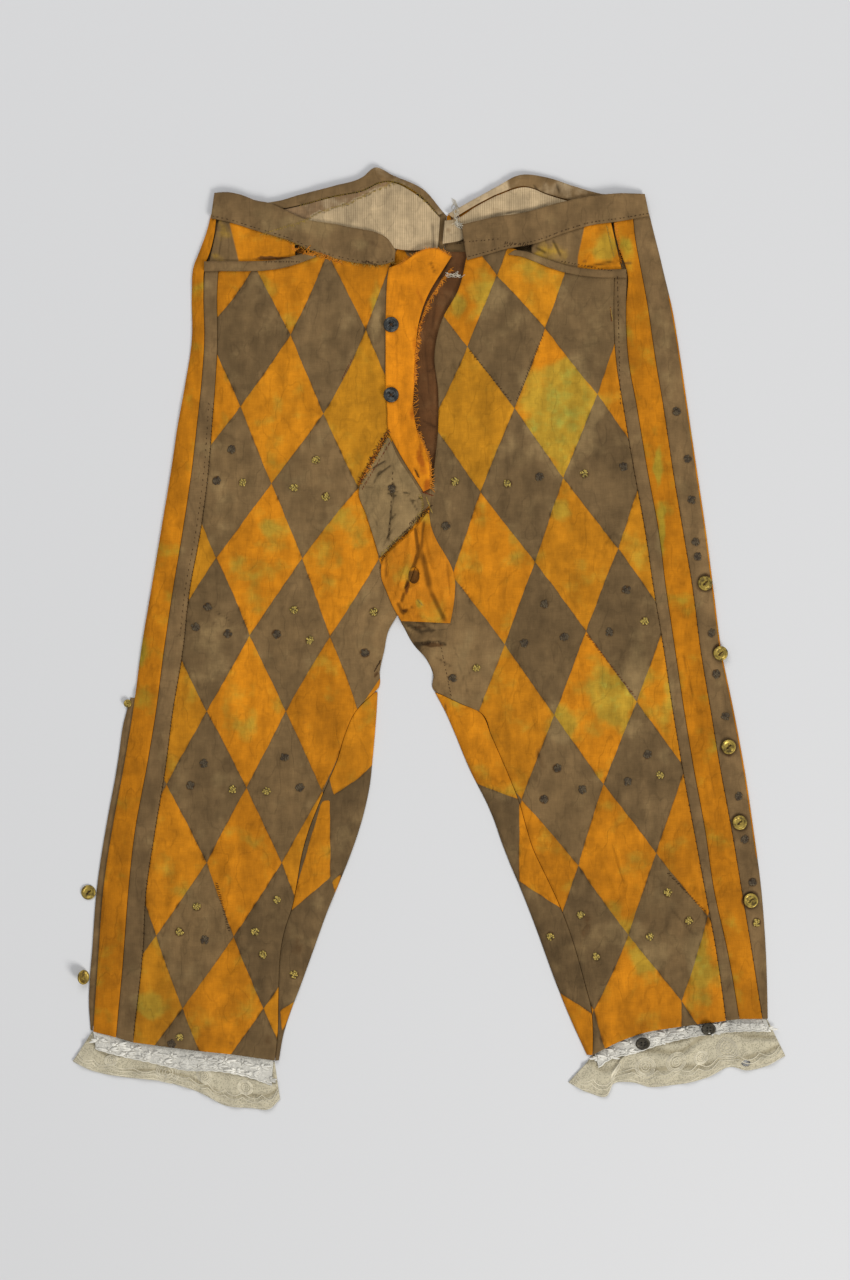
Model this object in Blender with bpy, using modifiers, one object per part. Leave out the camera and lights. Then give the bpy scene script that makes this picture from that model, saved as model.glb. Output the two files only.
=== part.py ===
"""Knee breeches pieced from orange and brown lozenges, laid flat with the front up.

X runs across the garment, Y from the knees to the waist, Z up out of the surface it lies on.
"Right" is the wearer's right leg, at -X. Sizes in the tables are millimetres.
"""

import math

import bmesh
import bpy
import numpy as np

MM = 0.001

# Walls and clearances
CLOTH_WALL = 1.4
LINING_WALL = 1.2
BAND_WALL = 1.6
LACE_WALL = 1.0
SEAM_GAP = 0.3

# How the layers lie on each other: what lies inside on the backs, and the fronts over them
INSIDE_REST = CLOTH_WALL + SEAM_GAP
FRONT_REST = INSIDE_REST + 0.05
EDGE_ROLL = 2.6
BACK_INSET = 4.0
BACK_APEX = (1.5, 3.9)
BACK_HEM_RISE = 1.2
BACK_LEG_ROWS = 9
BACK_SEAM_ROWS = 9
BACK_HIGH_ROWS = (105, 165, 220, 261, 297, 335, 358, 378, 398)
BACK_LEG_TOP = 60.0
STRIP_ROOM = {"inset": 10.5, "top": 20.0, "fade": 30.0}
PUFF_REACH = 26.0
PUFF_HEIGHT = 2.4
OVERLAY = CLOTH_WALL + 0.45
HEM_LIFT = 1.5
HEM_REACH = 30.0
CREASE_FADE = 0.62

# Least widths of the narrow seam pieces, and how far the inseam piece's rows slant
INSEAM_LEAST = {"right": 1.5, "left": 2.5}
STRIP_LEAST = 3.0
INSEAM_SLANT = 0.35

# Shift that puts the middle of the laid garment at the origin
CENTRE_X = 0.0
CENTRE_Y = 1.2

# Buttons
FLY_BUTTON_RADIUS = 6.9
SIDE_BUTTON_RADIUS = 6.6
SMALL_BUTTON_RADIUS = 3.6
BUTTON_THICKNESS = 2.2
BUTTON_CLEARANCE = 0.4
BUTTON_SIDES = 16
# Half of a button's section, as fractions of its radius and of its thickness
BUTTON_PROFILE = {
    "radius": (0.0, 0.60, 0.74, 0.90, 1.0, 0.94, 0.0),
    "height": (0.55, 0.55, 0.80, 0.80, 0.45, 0.0, 0.0),
}

INSEAM_STATIONS = 16
CROTCH_STATIONS = 5
SEAM_STATIONS = 5
HEM_STATIONS = 4
FLY_STATIONS = 7
BAND_STATIONS = 15
BINDING_STATIONS = 10
PATCH_STATIONS = 7
GUSSET_STATIONS = 9
PANEL_CELLS = 9
STRIP_CELLS = 2

# Right leg, at -X: where each cut edge runs at a height y up the garment
RIGHT_SECTIONS = {
    "y": (379, 356, 335, 297, 261, 207, 153, 99, 45, -9, -63, -117, -171, -225, -279, -360),
    "outer": (-196, -204, -212, -213, -214, -224, -232, -241, -250, -259, -266, -275, -285,
              -293, -297, -302),
    "stripe_inner": (-191, -194.5, -201.5, -202, -202, -207, -213, -221, -230, -238, -245, -254,
                     -264, -270, -274, -281),
    "tape_inner": (-180, -185, -189, -190.5, -190, -194, -198, -205, -215, -221, -230, -237, -246,
                   -254, -257, -266),
}

# Left leg, at +X
LEFT_SECTIONS = {
    "y": (380, 356, 335, 297, 261, 207, 153, 99, 45, -9, -63, -117, -171, -225, -279, -350),
    "tape_inner": (154, 158, 165.5, 166, 167, 175, 184, 194, 202, 211, 219, 228, 238, 248, 258, 268),
    "tape_outer": (165, 169, 177, 177, 178, 187, 196, 206, 213, 221, 229, 238, 248, 256, 268, 280),
    "stripe_outer": (183, 186, 190, 197, 202, 211, 219, 228, 237, 244, 253, 262, 272, 281, 290, 301),
    "outer": (198, 205, 210, 219, 225, 233, 241, 249, 256, 263, 274, 284, 292, 299, 303, 305),
}

# The brown button strip that shows past the right leg's stripe
BUTTON_STRIP_EDGE = {
    "y": (-52, -63, -117, -171, -225, -279, -324, -357),
    "x": (-268.5, -272, -281, -291, -299, -303, -306, -304),
}

STRIP_TUCK = 9.0
STRIP_HEM_RISE = 1.2
STRIP_STATIONS = 13
# The stripe stays up on the strip this far above the strip's top, over this fade
STRIPE_LIFT = {"above": 16.0, "fade": 14.0}

# Inner edges of the legs, from the crotch down to the hem, as (x, y)
CENTRE_SEAM = ((16, 382), (11, 306), (4, 216), (2, 137), (-3, 96), (-13, 65), (-22, 38), (-28, 23))
RIGHT_CROTCH = ((-28, 23), (-36, 9), (-40, -9), (-44, -27), (-46, -44))
RIGHT_INSEAM = ((-49, -47), (-65, -63), (-84, -112), (-96, -140), (-111, -180), (-123, -240),
                (-132, -270), (-135, -310), (-136, -355), (-138.5, -378))
RIGHT_INNER_FOLD = ((-46, -44), (-47, -63), (-50, -99), (-54, -135), (-63, -171), (-76, -207),
                    (-91, -243), (-104, -279), (-117, -315), (-130, -351), (-135, -378))
LEFT_CROTCH = ((-28, 23), (-22, 10), (-12, -7), (1, -22), (5, -46))
LEFT_INSEAM = ((47, -66), (64, -104), (80, -143), (94, -189), (108, -218), (120, -245),
               (129, -270), (139, -305), (146.5, -336), (147, -373))
LEFT_LOZENGE_EDGE = ((28, -57), (12, -49.5))
LEFT_INNER_FOLD = ((5, -46), (14, -63), (22, -81), (37, -117), (55, -153), (68, -189), (83, -225),
                   (97, -261), (110, -297), (124, -333), (142, -373))

# Edges of the fly opening, from the centre seam up to the waist
RIGHT_FLY_EDGE = ((-8, 165), (-30, 190), (-33, 232), (-34, 275), (-34, 318), (-34, 342))
LEFT_FLY_EDGE = ((5, 160), (8, 190), (8, 223), (5, 262), (9, 281), (16, 297), (29, 321), (34, 346))

# Hems, outer corner first
RIGHT_HEM = ((-302, -352), (-281, -357), (-248, -365), (-208, -369), (-180, -372), (-137, -378.5))
LEFT_HEM = ((147, -373), (162, -365), (193, -353), (222, -348), (243, -343), (280, -340), (305, -340))
HEM_CORNERS = {"x": (-302, -137, 147, 305), "y": (-352, -379, -373, -340)}
# Feet of the side tapes, and of the strips outside the left one
RIGHT_TAPE_FOOT = -361.5
LEFT_TAPE_FOOT = -342.0
LEFT_STRIP_FOOT = -340.5
# Rows that the side stripes have above the front panels
RIGHT_STRIPE_ROWS = (350.0, 366.0, 383.0)
LEFT_STRIPE_ROWS = (346.0, 361.0, 384.0)

# Tops of the front panels, hidden under the bindings and waistbands, outer corner first
RIGHT_FRONT_TOP = ((-191, 335), (-161, 336), (-131, 338), (-113, 345), (-95, 350), (-82, 347),
                   (-58, 343), (-36, 342))
LEFT_FRONT_TOP = ((34, 346), (55, 351), (68, 354.5), (85, 347.5), (103, 339.5), (121, 333),
                  (144, 330), (166, 329))

# Pocket bindings: upper and lower edges from the outer end in
RIGHT_BINDING = {
    "upper": ((-202, 340), (-180, 340), (-161, 340), (-135, 341.5), (-119, 345.5), (-106, 348)),
    "lower": ((-202, 331), (-180, 331), (-161, 331), (-131, 334), (-113, 339.5), (-101, 344)),
}
LEFT_BINDING = {
    "upper": ((77, 350.3), (88, 348.6), (103, 343), (121, 337), (144, 333), (177, 333)),
    "lower": ((71, 346), (85, 343.5), (103, 336), (121, 330), (144, 326), (177, 325)),
}

# Pocket facings, tucked under the bindings below and the waistbands above
RIGHT_FACING = {
    "lower": ((-197.8, 337.3), (-161, 338), (-134, 339.8), (-120, 343.8)),
    "upper": ((-188.5, 380), (-165, 373.5), (-140, 366), (-121, 359)),
}
LEFT_FACING = {
    "lower": ((92, 346.2), (106, 340.5), (122, 334.6), (143, 331.7), (173.4, 331)),
    "upper": ((92, 358), (108, 364), (124, 370), (142, 375), (162.3, 380)),
}

# Front waistbands: upper and lower edges, outer end first on the right leg, fly end first on the left
RIGHT_BAND = {
    "upper": ((-193, 402), (-176, 402), (-156, 395), (-140, 391.5), (-127, 385), (-111, 378),
              (-86, 374), (-68, 370), (-50, 367), (-39, 362), (-30, 350)),
    "lower": ((-196, 379), (-179, 375), (-160, 369), (-147, 365), (-127, 359), (-102, 348),
              (-82, 342), (-62, 338), (-49, 337), (-40, 337), (-31, 340)),
}
LEFT_BAND = {
    "upper": ((29, 373), (45, 377), (59, 380), (85, 384), (114, 392), (141, 398), (166, 401),
              (194, 401)),
    "lower": ((34, 341), (52, 346), (69, 351), (96, 356), (121, 365), (144, 372), (172, 376),
              (198, 381)),
}

# Backs: top edges with their two peaks, and the brown facings along them
RIGHT_BACK_TOP = ((-191, 398), (-166, 397), (-140, 392), (-116, 399), (-86, 407), (-60, 415),
                  (-48, 423), (-34, 417), (-4, 403), (16, 382))
LEFT_BACK_TOP = ((16, 382), (40, 395), (60, 406), (82, 417), (105, 415), (130, 407),
                 (159, 400), (192, 398))
RIGHT_BACK_BAND = {
    "outer": ((-150, 392.5), (-134, 395), (-117, 400), (-86, 408), (-60, 416), (-48, 424.8),
              (-33, 418), (-4, 404), (13, 384)),
    "inner": ((-150, 382), (-134, 387), (-116, 391), (-86, 399), (-58, 405), (-46, 411),
              (-34, 412.5), (-7, 399), (9, 382)),
}
LEFT_BACK_BAND = {
    "outer": ((17, 383), (40, 396), (60, 407), (82, 418), (105, 416), (130, 408), (156, 401),
              (174, 400)),
    "inner": ((22, 379), (42, 391), (64, 402), (86, 408), (107, 401), (130, 394.5), (152, 393),
              (172, 392)),
}
# Past these distances from the middle no lining or facing lies under a waistband
BAND_REST = {"right": 168.0, "left": 191.0}
BAND_FADE = 14.0
# A waistband keeps the height that the front has here, as nothing is under its upper edge
BAND_FLOOR_TOP = 372.0
BAND_LIFT = (OVERLAY, OVERLAY, 0.0)

# Linings inside the back, under its facings
RIGHT_LINING = {
    "upper": ((-146, 383), (-132, 386.5), (-115, 390.4), (-86, 398), (-58, 404), (-46, 410),
              (-34, 411.5), (-9, 398.5), (10, 379.5)),
    "lower": ((-146, 377), (-132, 377), (-115, 371), (-88, 365), (-66, 361), (-50, 358),
              (-35, 353), (-14, 350), (8, 352)),
}
LEFT_LINING = {
    "upper": ((14, 377), (24, 378.5), (43, 390), (65, 401), (87, 407), (107, 400), (130, 393.5),
              (150, 392)),
    "lower": ((12, 356), (24, 358), (43, 365), (65, 370), (87, 375), (108, 381), (130, 386),
              (150, 389)),
}

# Fly
FLY_STAND = {
    "y": (334, 324, 304, 282, 257, 231, 206, 186),
    "left": (-36, -37.5, -38.5, -39, -39, -39, -37.5, -36),
    "right": (20, 12, -1, -9, -12, -13, -14, -10),
}
FLY_STAND_TOP = ((-36, 334), (-28, 335.5), (-16, 345), (-2, 351), (8, 351), (20, 344))
FLY_STAND_COLUMNS = (0.0, 0.26, 0.52, 0.72, 0.86, 1.0)
FLY_STAND_FOLD = (0.0, 0.0, 0.0, 1.4, 0.2, -0.6)
FLY_STAND_TAIL = {
    "left": ((-36, 186), (-29, 172), (-21, 158), (-12, 144), (-5, 133)),
    "right": ((-10, 186), (-5, 176), (0, 162), (1.5, 148), (1, 136)),
}
FLY_FACING = {
    "y": (349, 333, 320, 295, 279, 266, 223, 175, 137),
    "left": (-2, -4, -8, -14, -20, -24, -25, -24, -10),
    "right": (36, 36, 33, 19, 12, 11, 13, 13, 7),
}

# Crotch patch and gusset
PATCH = {
    "left": ((-38, 182), (-50, 160), (-63, 138), (-54, 106), (-45, 76)),
    "right": ((-35.5, 181), (-23, 155), (-7, 131), (-5, 121), (-14, 103), (-28, 90), (-43, 75)),
}
GUSSET = {
    "left": ((-2, 114), (-12, 101), (-26, 87.5), (-41, 72.5), (-44, 64), (-40, 49), (-31, 27),
             (-25, 17)),
    "right": ((0, 114), (4, 95), (10, 84), (16, 74), (22, 61), (23, 38), (19, 15)),
}
GUSSET_REACH = 9.0
GUSSET_HOLE = {"x": -13.5, "y": 58.0, "width": 10.0, "height": 15.0}

# Lace ends: how far the cream and the white lace reach below the hem, outer corner first
RIGHT_LACE = {
    "hem": ((-303, -352), (-281, -357.5), (-248, -365.5), (-208, -369.5), (-180, -372.5),
            (-139, -379)),
    "cream": ((-320.5, -379), (-304, -387), (-275, -393), (-240, -397), (-217, -403),
              (-202, -409), (-185, -418), (-160, -421), (-143, -421.5), (-134, -413)),
    "white": ((-300, -368), (-278, -374), (-246, -381), (-219, -387), (-189, -388), (-160, -394),
              (-141, -401)),
}
LEFT_LACE = {
    "hem": ((148, -373), (162, -365.5), (193, -353.5), (222, -348.5), (243, -343.5), (280, -340.5),
            (304, -340.5)),
    "cream": ((125.5, -398), (143, -407), (160, -410), (165, -400), (184, -398), (198, -402),
              (213, -401), (234, -398), (249, -394), (272, -384), (286, -387), (301, -384),
              (320.5, -374)),
    "white": ((152, -385), (163, -377), (184, -372), (204, -365), (249, -355), (279, -352),
              (308, -352)),
}
LACE_HOLE = {"x": 285.0, "y": -380.5, "width": 8.5, "height": 5.5}
RIGHT_LACE_WAVES = 7
LEFT_LACE_WAVES = 8
RIGHT_LACE_STATIONS = 24
LEFT_LACE_STATIONS = 26
LACE_LIFT = 1.5
LACE_TUCK = 5.0
LACE_TUCK_SIDE = 9.0
LACE_CORNER = 4.5
# How unevenly the gathers follow each other along the hem
LACE_DRIFT = {"turns": 0.6, "rate": 9.0}
HOLE_SIDES = 12
HOLE_DEPTH = 30.0

# Buttons as (x, y): on the fly, along the left leg's strip, past the right leg's edge, at the knee
FLY_BUTTONS = ((-34, 283), (-34, 220))
LEFT_SIDE_BUTTONS = ((248, 51), (262, -12), (269, -96), (279, -164), (289, -234))
RIGHT_FLAT_BUTTON = (-306.4, -227)
RIGHT_SMALL_BUTTON = (-271, -57)
RIGHT_HANGING_BUTTON = (-311, -303)
HANGING_HEIGHT = 4.8
HANGING_TURN = (0, 45, 0)
KNEE_BUTTONS = ((192, -362), (251, -349))
KNEE_BUTTON_HEIGHT = 6.4
KNEE_BUTTON_TURN = (28, 0, 0)

# Large soft folds pressed into the fronts: middle, direction, length, half width, height
FRONT_FOLDS = (
    {"x": -92, "y": 292, "turn": 38, "length": 120, "half_width": 13, "height": 1.1},
    {"x": 88, "y": 300, "turn": 128, "length": 105, "half_width": 12, "height": 1.0},
    {"x": -160, "y": -120, "turn": 84, "length": 210, "half_width": 16, "height": 1.2},
    {"x": -105, "y": 30, "turn": 62, "length": 170, "half_width": 15, "height": 1.3},
    {"x": 66, "y": 20, "turn": 121, "length": 180, "half_width": 15, "height": 1.3},
    {"x": 176, "y": -110, "turn": 98, "length": 230, "half_width": 17, "height": 1.2},
    {"x": 150, "y": -260, "turn": 118, "length": 150, "half_width": 13, "height": 1.0},
    {"x": -215, "y": -260, "turn": 80, "length": 160, "half_width": 14, "height": 1.0},
)


def start_empty():
    """Removes whatever the scene holds."""
    for old in list(bpy.data.objects):
        bpy.data.objects.remove(old, do_unlink=True)


def make_collection(name):
    group = bpy.data.collections.new(name)
    bpy.context.scene.collection.children.link(group)
    return group


def material(name, colour, roughness, metallic=0.0):
    """A plain Principled finish."""
    made = bpy.data.materials.new(name)
    made.use_nodes = True
    shader = made.node_tree.nodes["Principled BSDF"]
    shader.inputs["Base Color"].default_value = (*colour, 1.0)
    shader.inputs["Roughness"].default_value = roughness
    shader.inputs["Metallic"].default_value = metallic
    return made


def smooth(points, count):
    """`count` points on a Catmull-Rom curve through `points`, evenly spaced along its chords."""
    p = np.asarray(points, float)
    chord = np.concatenate(([0.0], np.cumsum(np.linalg.norm(np.diff(p, axis=0), axis=1))))
    slope = np.gradient(p, chord, axis=0) if len(p) > 2 else np.tile((p[1] - p[0]) / chord[1], (2, 1))
    at = np.linspace(0.0, chord[-1], count)
    left = np.clip(np.searchsorted(chord, at, side="right") - 1, 0, len(p) - 2)
    span = chord[left + 1] - chord[left]
    t = ((at - chord[left]) / span)[:, None]
    span = span[:, None]
    return ((2 * t**3 - 3 * t**2 + 1) * p[left] + (t**3 - 2 * t**2 + t) * span * slope[left]
            + (3 * t**2 - 2 * t**3) * p[left + 1] + (t**3 - t**2) * span * slope[left + 1])


def column(table, name, y):
    """A section table's column read at heights y, joined by a smooth curve."""
    heights = np.array(table["y"], float)[::-1]
    values = np.array(table[name], float)[::-1]
    slope = np.gradient(values, heights)
    y = np.clip(y, heights[0], heights[-1])
    left = np.clip(np.searchsorted(heights, y, side="right") - 1, 0, len(heights) - 2)
    span = heights[left + 1] - heights[left]
    t = (y - heights[left]) / span
    return ((2 * t**3 - 3 * t**2 + 1) * values[left] + (t**3 - 2 * t**2 + t) * span * slope[left]
            + (3 * t**2 - 2 * t**3) * values[left + 1] + (t**3 - t**2) * span * slope[left + 1])


def stack(x, y):
    return np.stack((x, y), axis=-1)


def table_edges(table):
    """The left and right edges that a section table gives, as points."""
    y = np.array(table["y"], float)
    return stack(np.array(table["left"], float), y), stack(np.array(table["right"], float), y)


def by_height(points):
    """An edge's points as a section table, so that x can be read at any height."""
    p = np.asarray(points, float)
    p = p[np.argsort(-p[:, 1])]
    return {"y": p[:, 1], "x": p[:, 0]}


RIGHT_FOLD_TABLE = by_height(RIGHT_CROTCH[:-1] + RIGHT_INNER_FOLD)
LEFT_FOLD_TABLE = by_height(LEFT_CROTCH[:-1] + LEFT_INNER_FOLD)


def soft_step(t):
    t = np.clip(t, 0.0, 1.0)
    return t * t * (3.0 - 2.0 * t)


def edge_distance(x, y):
    """How far a point lies inside the laid outline of its own leg, measured across."""
    crotch = CENTRE_SEAM[-1][1]
    right_outer = column(RIGHT_SECTIONS, "outer", y)
    left_outer = column(LEFT_SECTIONS, "outer", y)
    right_inner = np.where(y < crotch, column(RIGHT_FOLD_TABLE, "x", y), np.inf)
    left_inner = np.where(y < crotch, column(LEFT_FOLD_TABLE, "x", y), -np.inf)
    centre = 0.5 * (column(RIGHT_FOLD_TABLE, "x", y) + column(LEFT_FOLD_TABLE, "x", y))
    on_right = x < np.where(y < crotch, centre, 0.0)
    across_right = np.minimum(x - right_outer, right_inner - x)
    across_left = np.minimum(left_outer - x, x - left_inner)
    return np.maximum(np.where(on_right, across_right, across_left), 0.0)


def fold_relief(x, y):
    """The largest creases: long soft ridges, fading at their ends."""
    height = np.zeros_like(x)
    for fold in FRONT_FOLDS:
        turn = math.radians(fold["turn"])
        along = (x - fold["x"]) * math.cos(turn) + (y - fold["y"]) * math.sin(turn)
        across = (y - fold["y"]) * math.cos(turn) - (x - fold["x"]) * math.sin(turn)
        ridge = np.exp(-((across / fold["half_width"]) ** 2))
        fade = soft_step(1.25 - np.abs(along) / (0.5 * fold["length"]))
        height += fold["height"] * ridge * fade
    return height


def front_floor(x, y):
    """Underside of the front layer: rolled down to the surface at the sides, puffed up between."""
    x, y = np.broadcast_arrays(np.asarray(x, float), np.asarray(y, float))
    inside = edge_distance(x, y)
    rolled = FRONT_REST * np.clip(inside / EDGE_ROLL, 0.0, 1.0)
    far = np.clip((inside - EDGE_ROLL) / PUFF_REACH, 0.0, 1.0)
    puff = PUFF_HEIGHT * (1.0 - (1.0 - far) ** 2)
    above_hem = y - np.interp(x, HEM_CORNERS["x"], HEM_CORNERS["y"])
    open_hem = HEM_LIFT * (1.0 - soft_step(above_hem / HEM_REACH)) * np.clip(inside / EDGE_ROLL, 0.0, 1.0)
    creases = fold_relief(x, y) * np.clip(far / CREASE_FADE, 0.0, 1.0)
    return rolled + np.maximum(puff, open_hem) + creases


def highest_near(x, y, reach):
    """The front layer's highest underside within `reach` of each point."""
    steps = (-reach, 0.0, reach)
    return np.max([front_floor(x + dx, y + dy) for dx in steps for dy in steps], axis=0)


def end_curve(points, x):
    """An end edge read at the given places across, so that columns stay straight."""
    p = np.asarray(points, float)
    fine = smooth(p, 60)
    return stack(x, np.interp(x, fine[:, 0], fine[:, 1]))


def patch_grid(left, right, bottom, top, across):
    """A Coons patch: rows run from the left edge to the right edge, rounded to the end curves."""
    u = np.asarray(across, float)
    if u.ndim == 1:
        u = np.tile(u, (len(left), 1))
    v = np.linspace(0.0, 1.0, len(left))[:, None, None]
    u3 = u[:, :, None]
    rows = (1.0 - u3) * left[:, None, :] + u3 * right[:, None, :]
    low = bottom - ((1.0 - u3[0]) * left[0] + u3[0] * right[0])
    high = top - ((1.0 - u3[-1]) * left[-1] + u3[-1] * right[-1])
    return rows + (1.0 - v) ** 3 * low[None] + v**3 * high[None]


def strip_grid(left, right, across):
    """Rows straight across between two edges."""
    u = np.asarray(across, float)
    if u.ndim == 1:
        u = np.tile(u, (len(left), 1))
    return (1.0 - u[:, :, None]) * left[:, None, :] + u[:, :, None] * right[:, None, :]


def inset(edge, inward, amount):
    """An edge moved towards the inside of its piece, square to itself."""
    along = np.gradient(edge, axis=0)
    along /= np.linalg.norm(along, axis=1)[:, None]
    side = np.stack((-along[:, 1], along[:, 0]), axis=1)
    towards = np.asarray(inward, float)
    sign = np.sign((side * towards).sum(axis=1))
    sign[sign == 0] = 1.0
    return edge + side * sign[:, None] * amount


def cloth(name, grid, lower, wall, finish, group):
    """A closed sheet: a grid of quads at the heights `lower`, drawn up by its wall."""
    rows, cols = grid.shape[:2]
    if np.ndim(wall) == 0:
        wall = np.full((rows, cols), float(wall))
    lower = np.broadcast_to(lower, (rows, cols))
    shape = bmesh.new()
    points = [
        shape.verts.new(((grid[i, j, 0] - CENTRE_X) * MM, (grid[i, j, 1] - CENTRE_Y) * MM,
                         lower[i, j] * MM))
        for i in range(rows) for j in range(cols)
    ]
    for i in range(rows - 1):
        for j in range(cols - 1):
            a = i * cols + j
            shape.faces.new((points[a], points[a + 1], points[a + cols + 1], points[a + cols]))
    drawn = bmesh.ops.extrude_face_region(shape, geom=shape.faces[:])
    raised = [item for item in drawn["geom"] if isinstance(item, bmesh.types.BMVert)]
    rise = {(round(p.co.x, 7), round(p.co.y, 7)): wall.flat[k] for k, p in enumerate(points)}
    for vert in raised:
        vert.co.z += rise[(round(vert.co.x, 7), round(vert.co.y, 7))] * MM
    bmesh.ops.recalc_face_normals(shape, faces=shape.faces[:])
    mesh = bpy.data.meshes.new(name)
    shape.to_mesh(mesh)
    shape.free()
    mesh.materials.append(finish)
    made = bpy.data.objects.new(name, mesh)
    group.objects.link(made)
    return made


def front_cloth(name, grid, finish, group, raise_by=0.0):
    """A sheet that follows the front layer, lifted by raise_by."""
    lower = front_floor(grid[..., 0], grid[..., 1]) + raise_by
    return cloth(name, grid, lower, CLOTH_WALL, finish, group)


def from_edge(width, near, cells):
    """Fractions across a strip of each row's width: the edge, the end of its roll, then even cells."""
    width = np.asarray(width, float)[:, None]
    roll = np.clip(near / width, 0.005, 0.45)
    rest = np.linspace(0.0, 1.0, cells + 1)[None, :]
    return np.concatenate((np.zeros_like(width), roll + (1.0 - roll) * rest), axis=1)


def leg_stations(inner, hem_outer, top_outer):
    """Heights of the outer edges that pair with the points of an inner edge, hem first."""
    y = inner[:, 1]
    return hem_outer + (y - y[0]) / (y[-1] - y[0]) * (top_outer - hem_outer)


def right_inner_edge():
    """Inner edge of the right front, hem first, and the station where the inseam piece starts."""
    seam = smooth(RIGHT_INSEAM[::-1], INSEAM_STATIONS)
    crotch = smooth(RIGHT_CROTCH[::-1], CROTCH_STATIONS)
    centre = smooth(CENTRE_SEAM[::-1][:5], SEAM_STATIONS)
    edge = np.concatenate((seam, crotch, centre[1:], np.array(RIGHT_FLY_EDGE, float)))
    return edge, len(seam)


def left_inner_edge():
    """Inner edge of the left front, hem first, and the station where the inseam piece starts."""
    seam = np.concatenate((smooth(LEFT_INSEAM[::-1], INSEAM_STATIONS), np.array(LEFT_LOZENGE_EDGE)))
    crotch = smooth(LEFT_CROTCH[::-1], CROTCH_STATIONS + 1)
    centre = smooth(CENTRE_SEAM[::-1][:5], SEAM_STATIONS)
    fly = smooth(LEFT_FLY_EDGE, FLY_STATIONS)
    edge = np.concatenate((seam, crotch, centre[1:], fly))
    return edge, len(seam)


def make_right_leg(cloths, group):
    """Front panel, side tape, orange stripe, inseam piece and button strip of the right leg."""
    inner, split = right_inner_edge()
    y = leg_stations(inner, RIGHT_TAPE_FOOT, RIGHT_FRONT_TOP[0][1])
    tape_in = stack(column(RIGHT_SECTIONS, "tape_inner", y), y)
    half = SEAM_GAP / 2.0

    panel_left = inset(tape_in, (1, 0), half)
    panel_right = inset(inner, (-1, 0), half)
    width = panel_right[:, 0] - panel_left[:, 0]
    across = 1.0 - from_edge(width, EDGE_ROLL, PANEL_CELLS)[:, ::-1]
    hem_points = (tuple(panel_left[0]), *RIGHT_HEM[3:5], tuple(panel_right[0]))
    hem = end_curve(hem_points, panel_left[0][0] + across[0] * width[0])
    top = end_curve(RIGHT_FRONT_TOP, panel_left[-1][0] + across[-1] * width[-1])
    grid = patch_grid(panel_left, panel_right, hem, top, across)
    front_cloth("front_right", grid, cloths["lozenge"], group)

    stripe_y = np.concatenate((y, RIGHT_STRIPE_ROWS))
    hem_drop = np.linspace(1.0, 0.0, HEM_STATIONS)
    tape_out = stack(column(RIGHT_SECTIONS, "stripe_inner", y), y)
    tape_out[:HEM_STATIONS, 1] += (RIGHT_HEM[1][1] - y[0]) * hem_drop
    grid = strip_grid(inset(tape_out, (1, 0), half), inset(tape_in, (-1, 0), half), (0.0, 1.0))
    front_cloth("side_tape_right", grid, cloths["brown"], group)

    stripe_in = stack(column(RIGHT_SECTIONS, "stripe_inner", stripe_y), stripe_y)
    stripe_in[:HEM_STATIONS, 1] = tape_out[:HEM_STATIONS, 1]
    outer = stack(column(RIGHT_SECTIONS, "outer", stripe_y), stripe_y)
    outer[:HEM_STATIONS, 1] += (RIGHT_HEM[0][1] - stripe_y[0]) * hem_drop
    edge = inset(stripe_in, (-1, 0), half)
    across = from_edge(edge[:, 0] - outer[:, 0], EDGE_ROLL, STRIP_CELLS)
    grid = strip_grid(outer, edge, across)
    floor = front_floor(grid[..., 0], grid[..., 1])
    lift_top = BUTTON_STRIP_EDGE["y"][0] + STRIPE_LIFT["above"]
    beside_strip = soft_step((lift_top - grid[..., 1]) / STRIPE_LIFT["fade"])
    lifted = np.maximum(floor, FRONT_REST * beside_strip)
    cloth("side_stripe_right", grid, lifted, CLOTH_WALL, cloths["orange"], group)

    strip_y = np.linspace(RIGHT_HEM[0][1] + STRIP_HEM_RISE, BUTTON_STRIP_EDGE["y"][0], STRIP_STATIONS)
    strip_edge = stack(column(BUTTON_STRIP_EDGE, "x", strip_y), strip_y)
    inside = stack(column(RIGHT_SECTIONS, "outer", strip_y) + STRIP_TUCK, strip_y)
    grid = strip_grid(strip_edge, inside, (0.0, 1.0))
    cloth("button_strip_right", grid, 0.0, CLOTH_WALL, cloths["brown"], group)

    seam = inset(inner[:split], (1, 0), half)
    fold_y = np.linspace(RIGHT_INNER_FOLD[-1][1], RIGHT_INNER_FOLD[0][1] - 3.0, split)
    fold_y = seam[:, 1] * (1.0 - INSEAM_SLANT) + fold_y * INSEAM_SLANT
    fold = stack(column(RIGHT_FOLD_TABLE, "x", fold_y), fold_y)
    width = np.maximum(fold[:, 0] - seam[:, 0], INSEAM_LEAST["right"])
    across = 1.0 - from_edge(width, EDGE_ROLL, STRIP_CELLS)[:, ::-1]
    fold[:, 0] = seam[:, 0] + width
    front_cloth("inseam_right", strip_grid(seam, fold, across), cloths["lozenge"], group)


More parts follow.
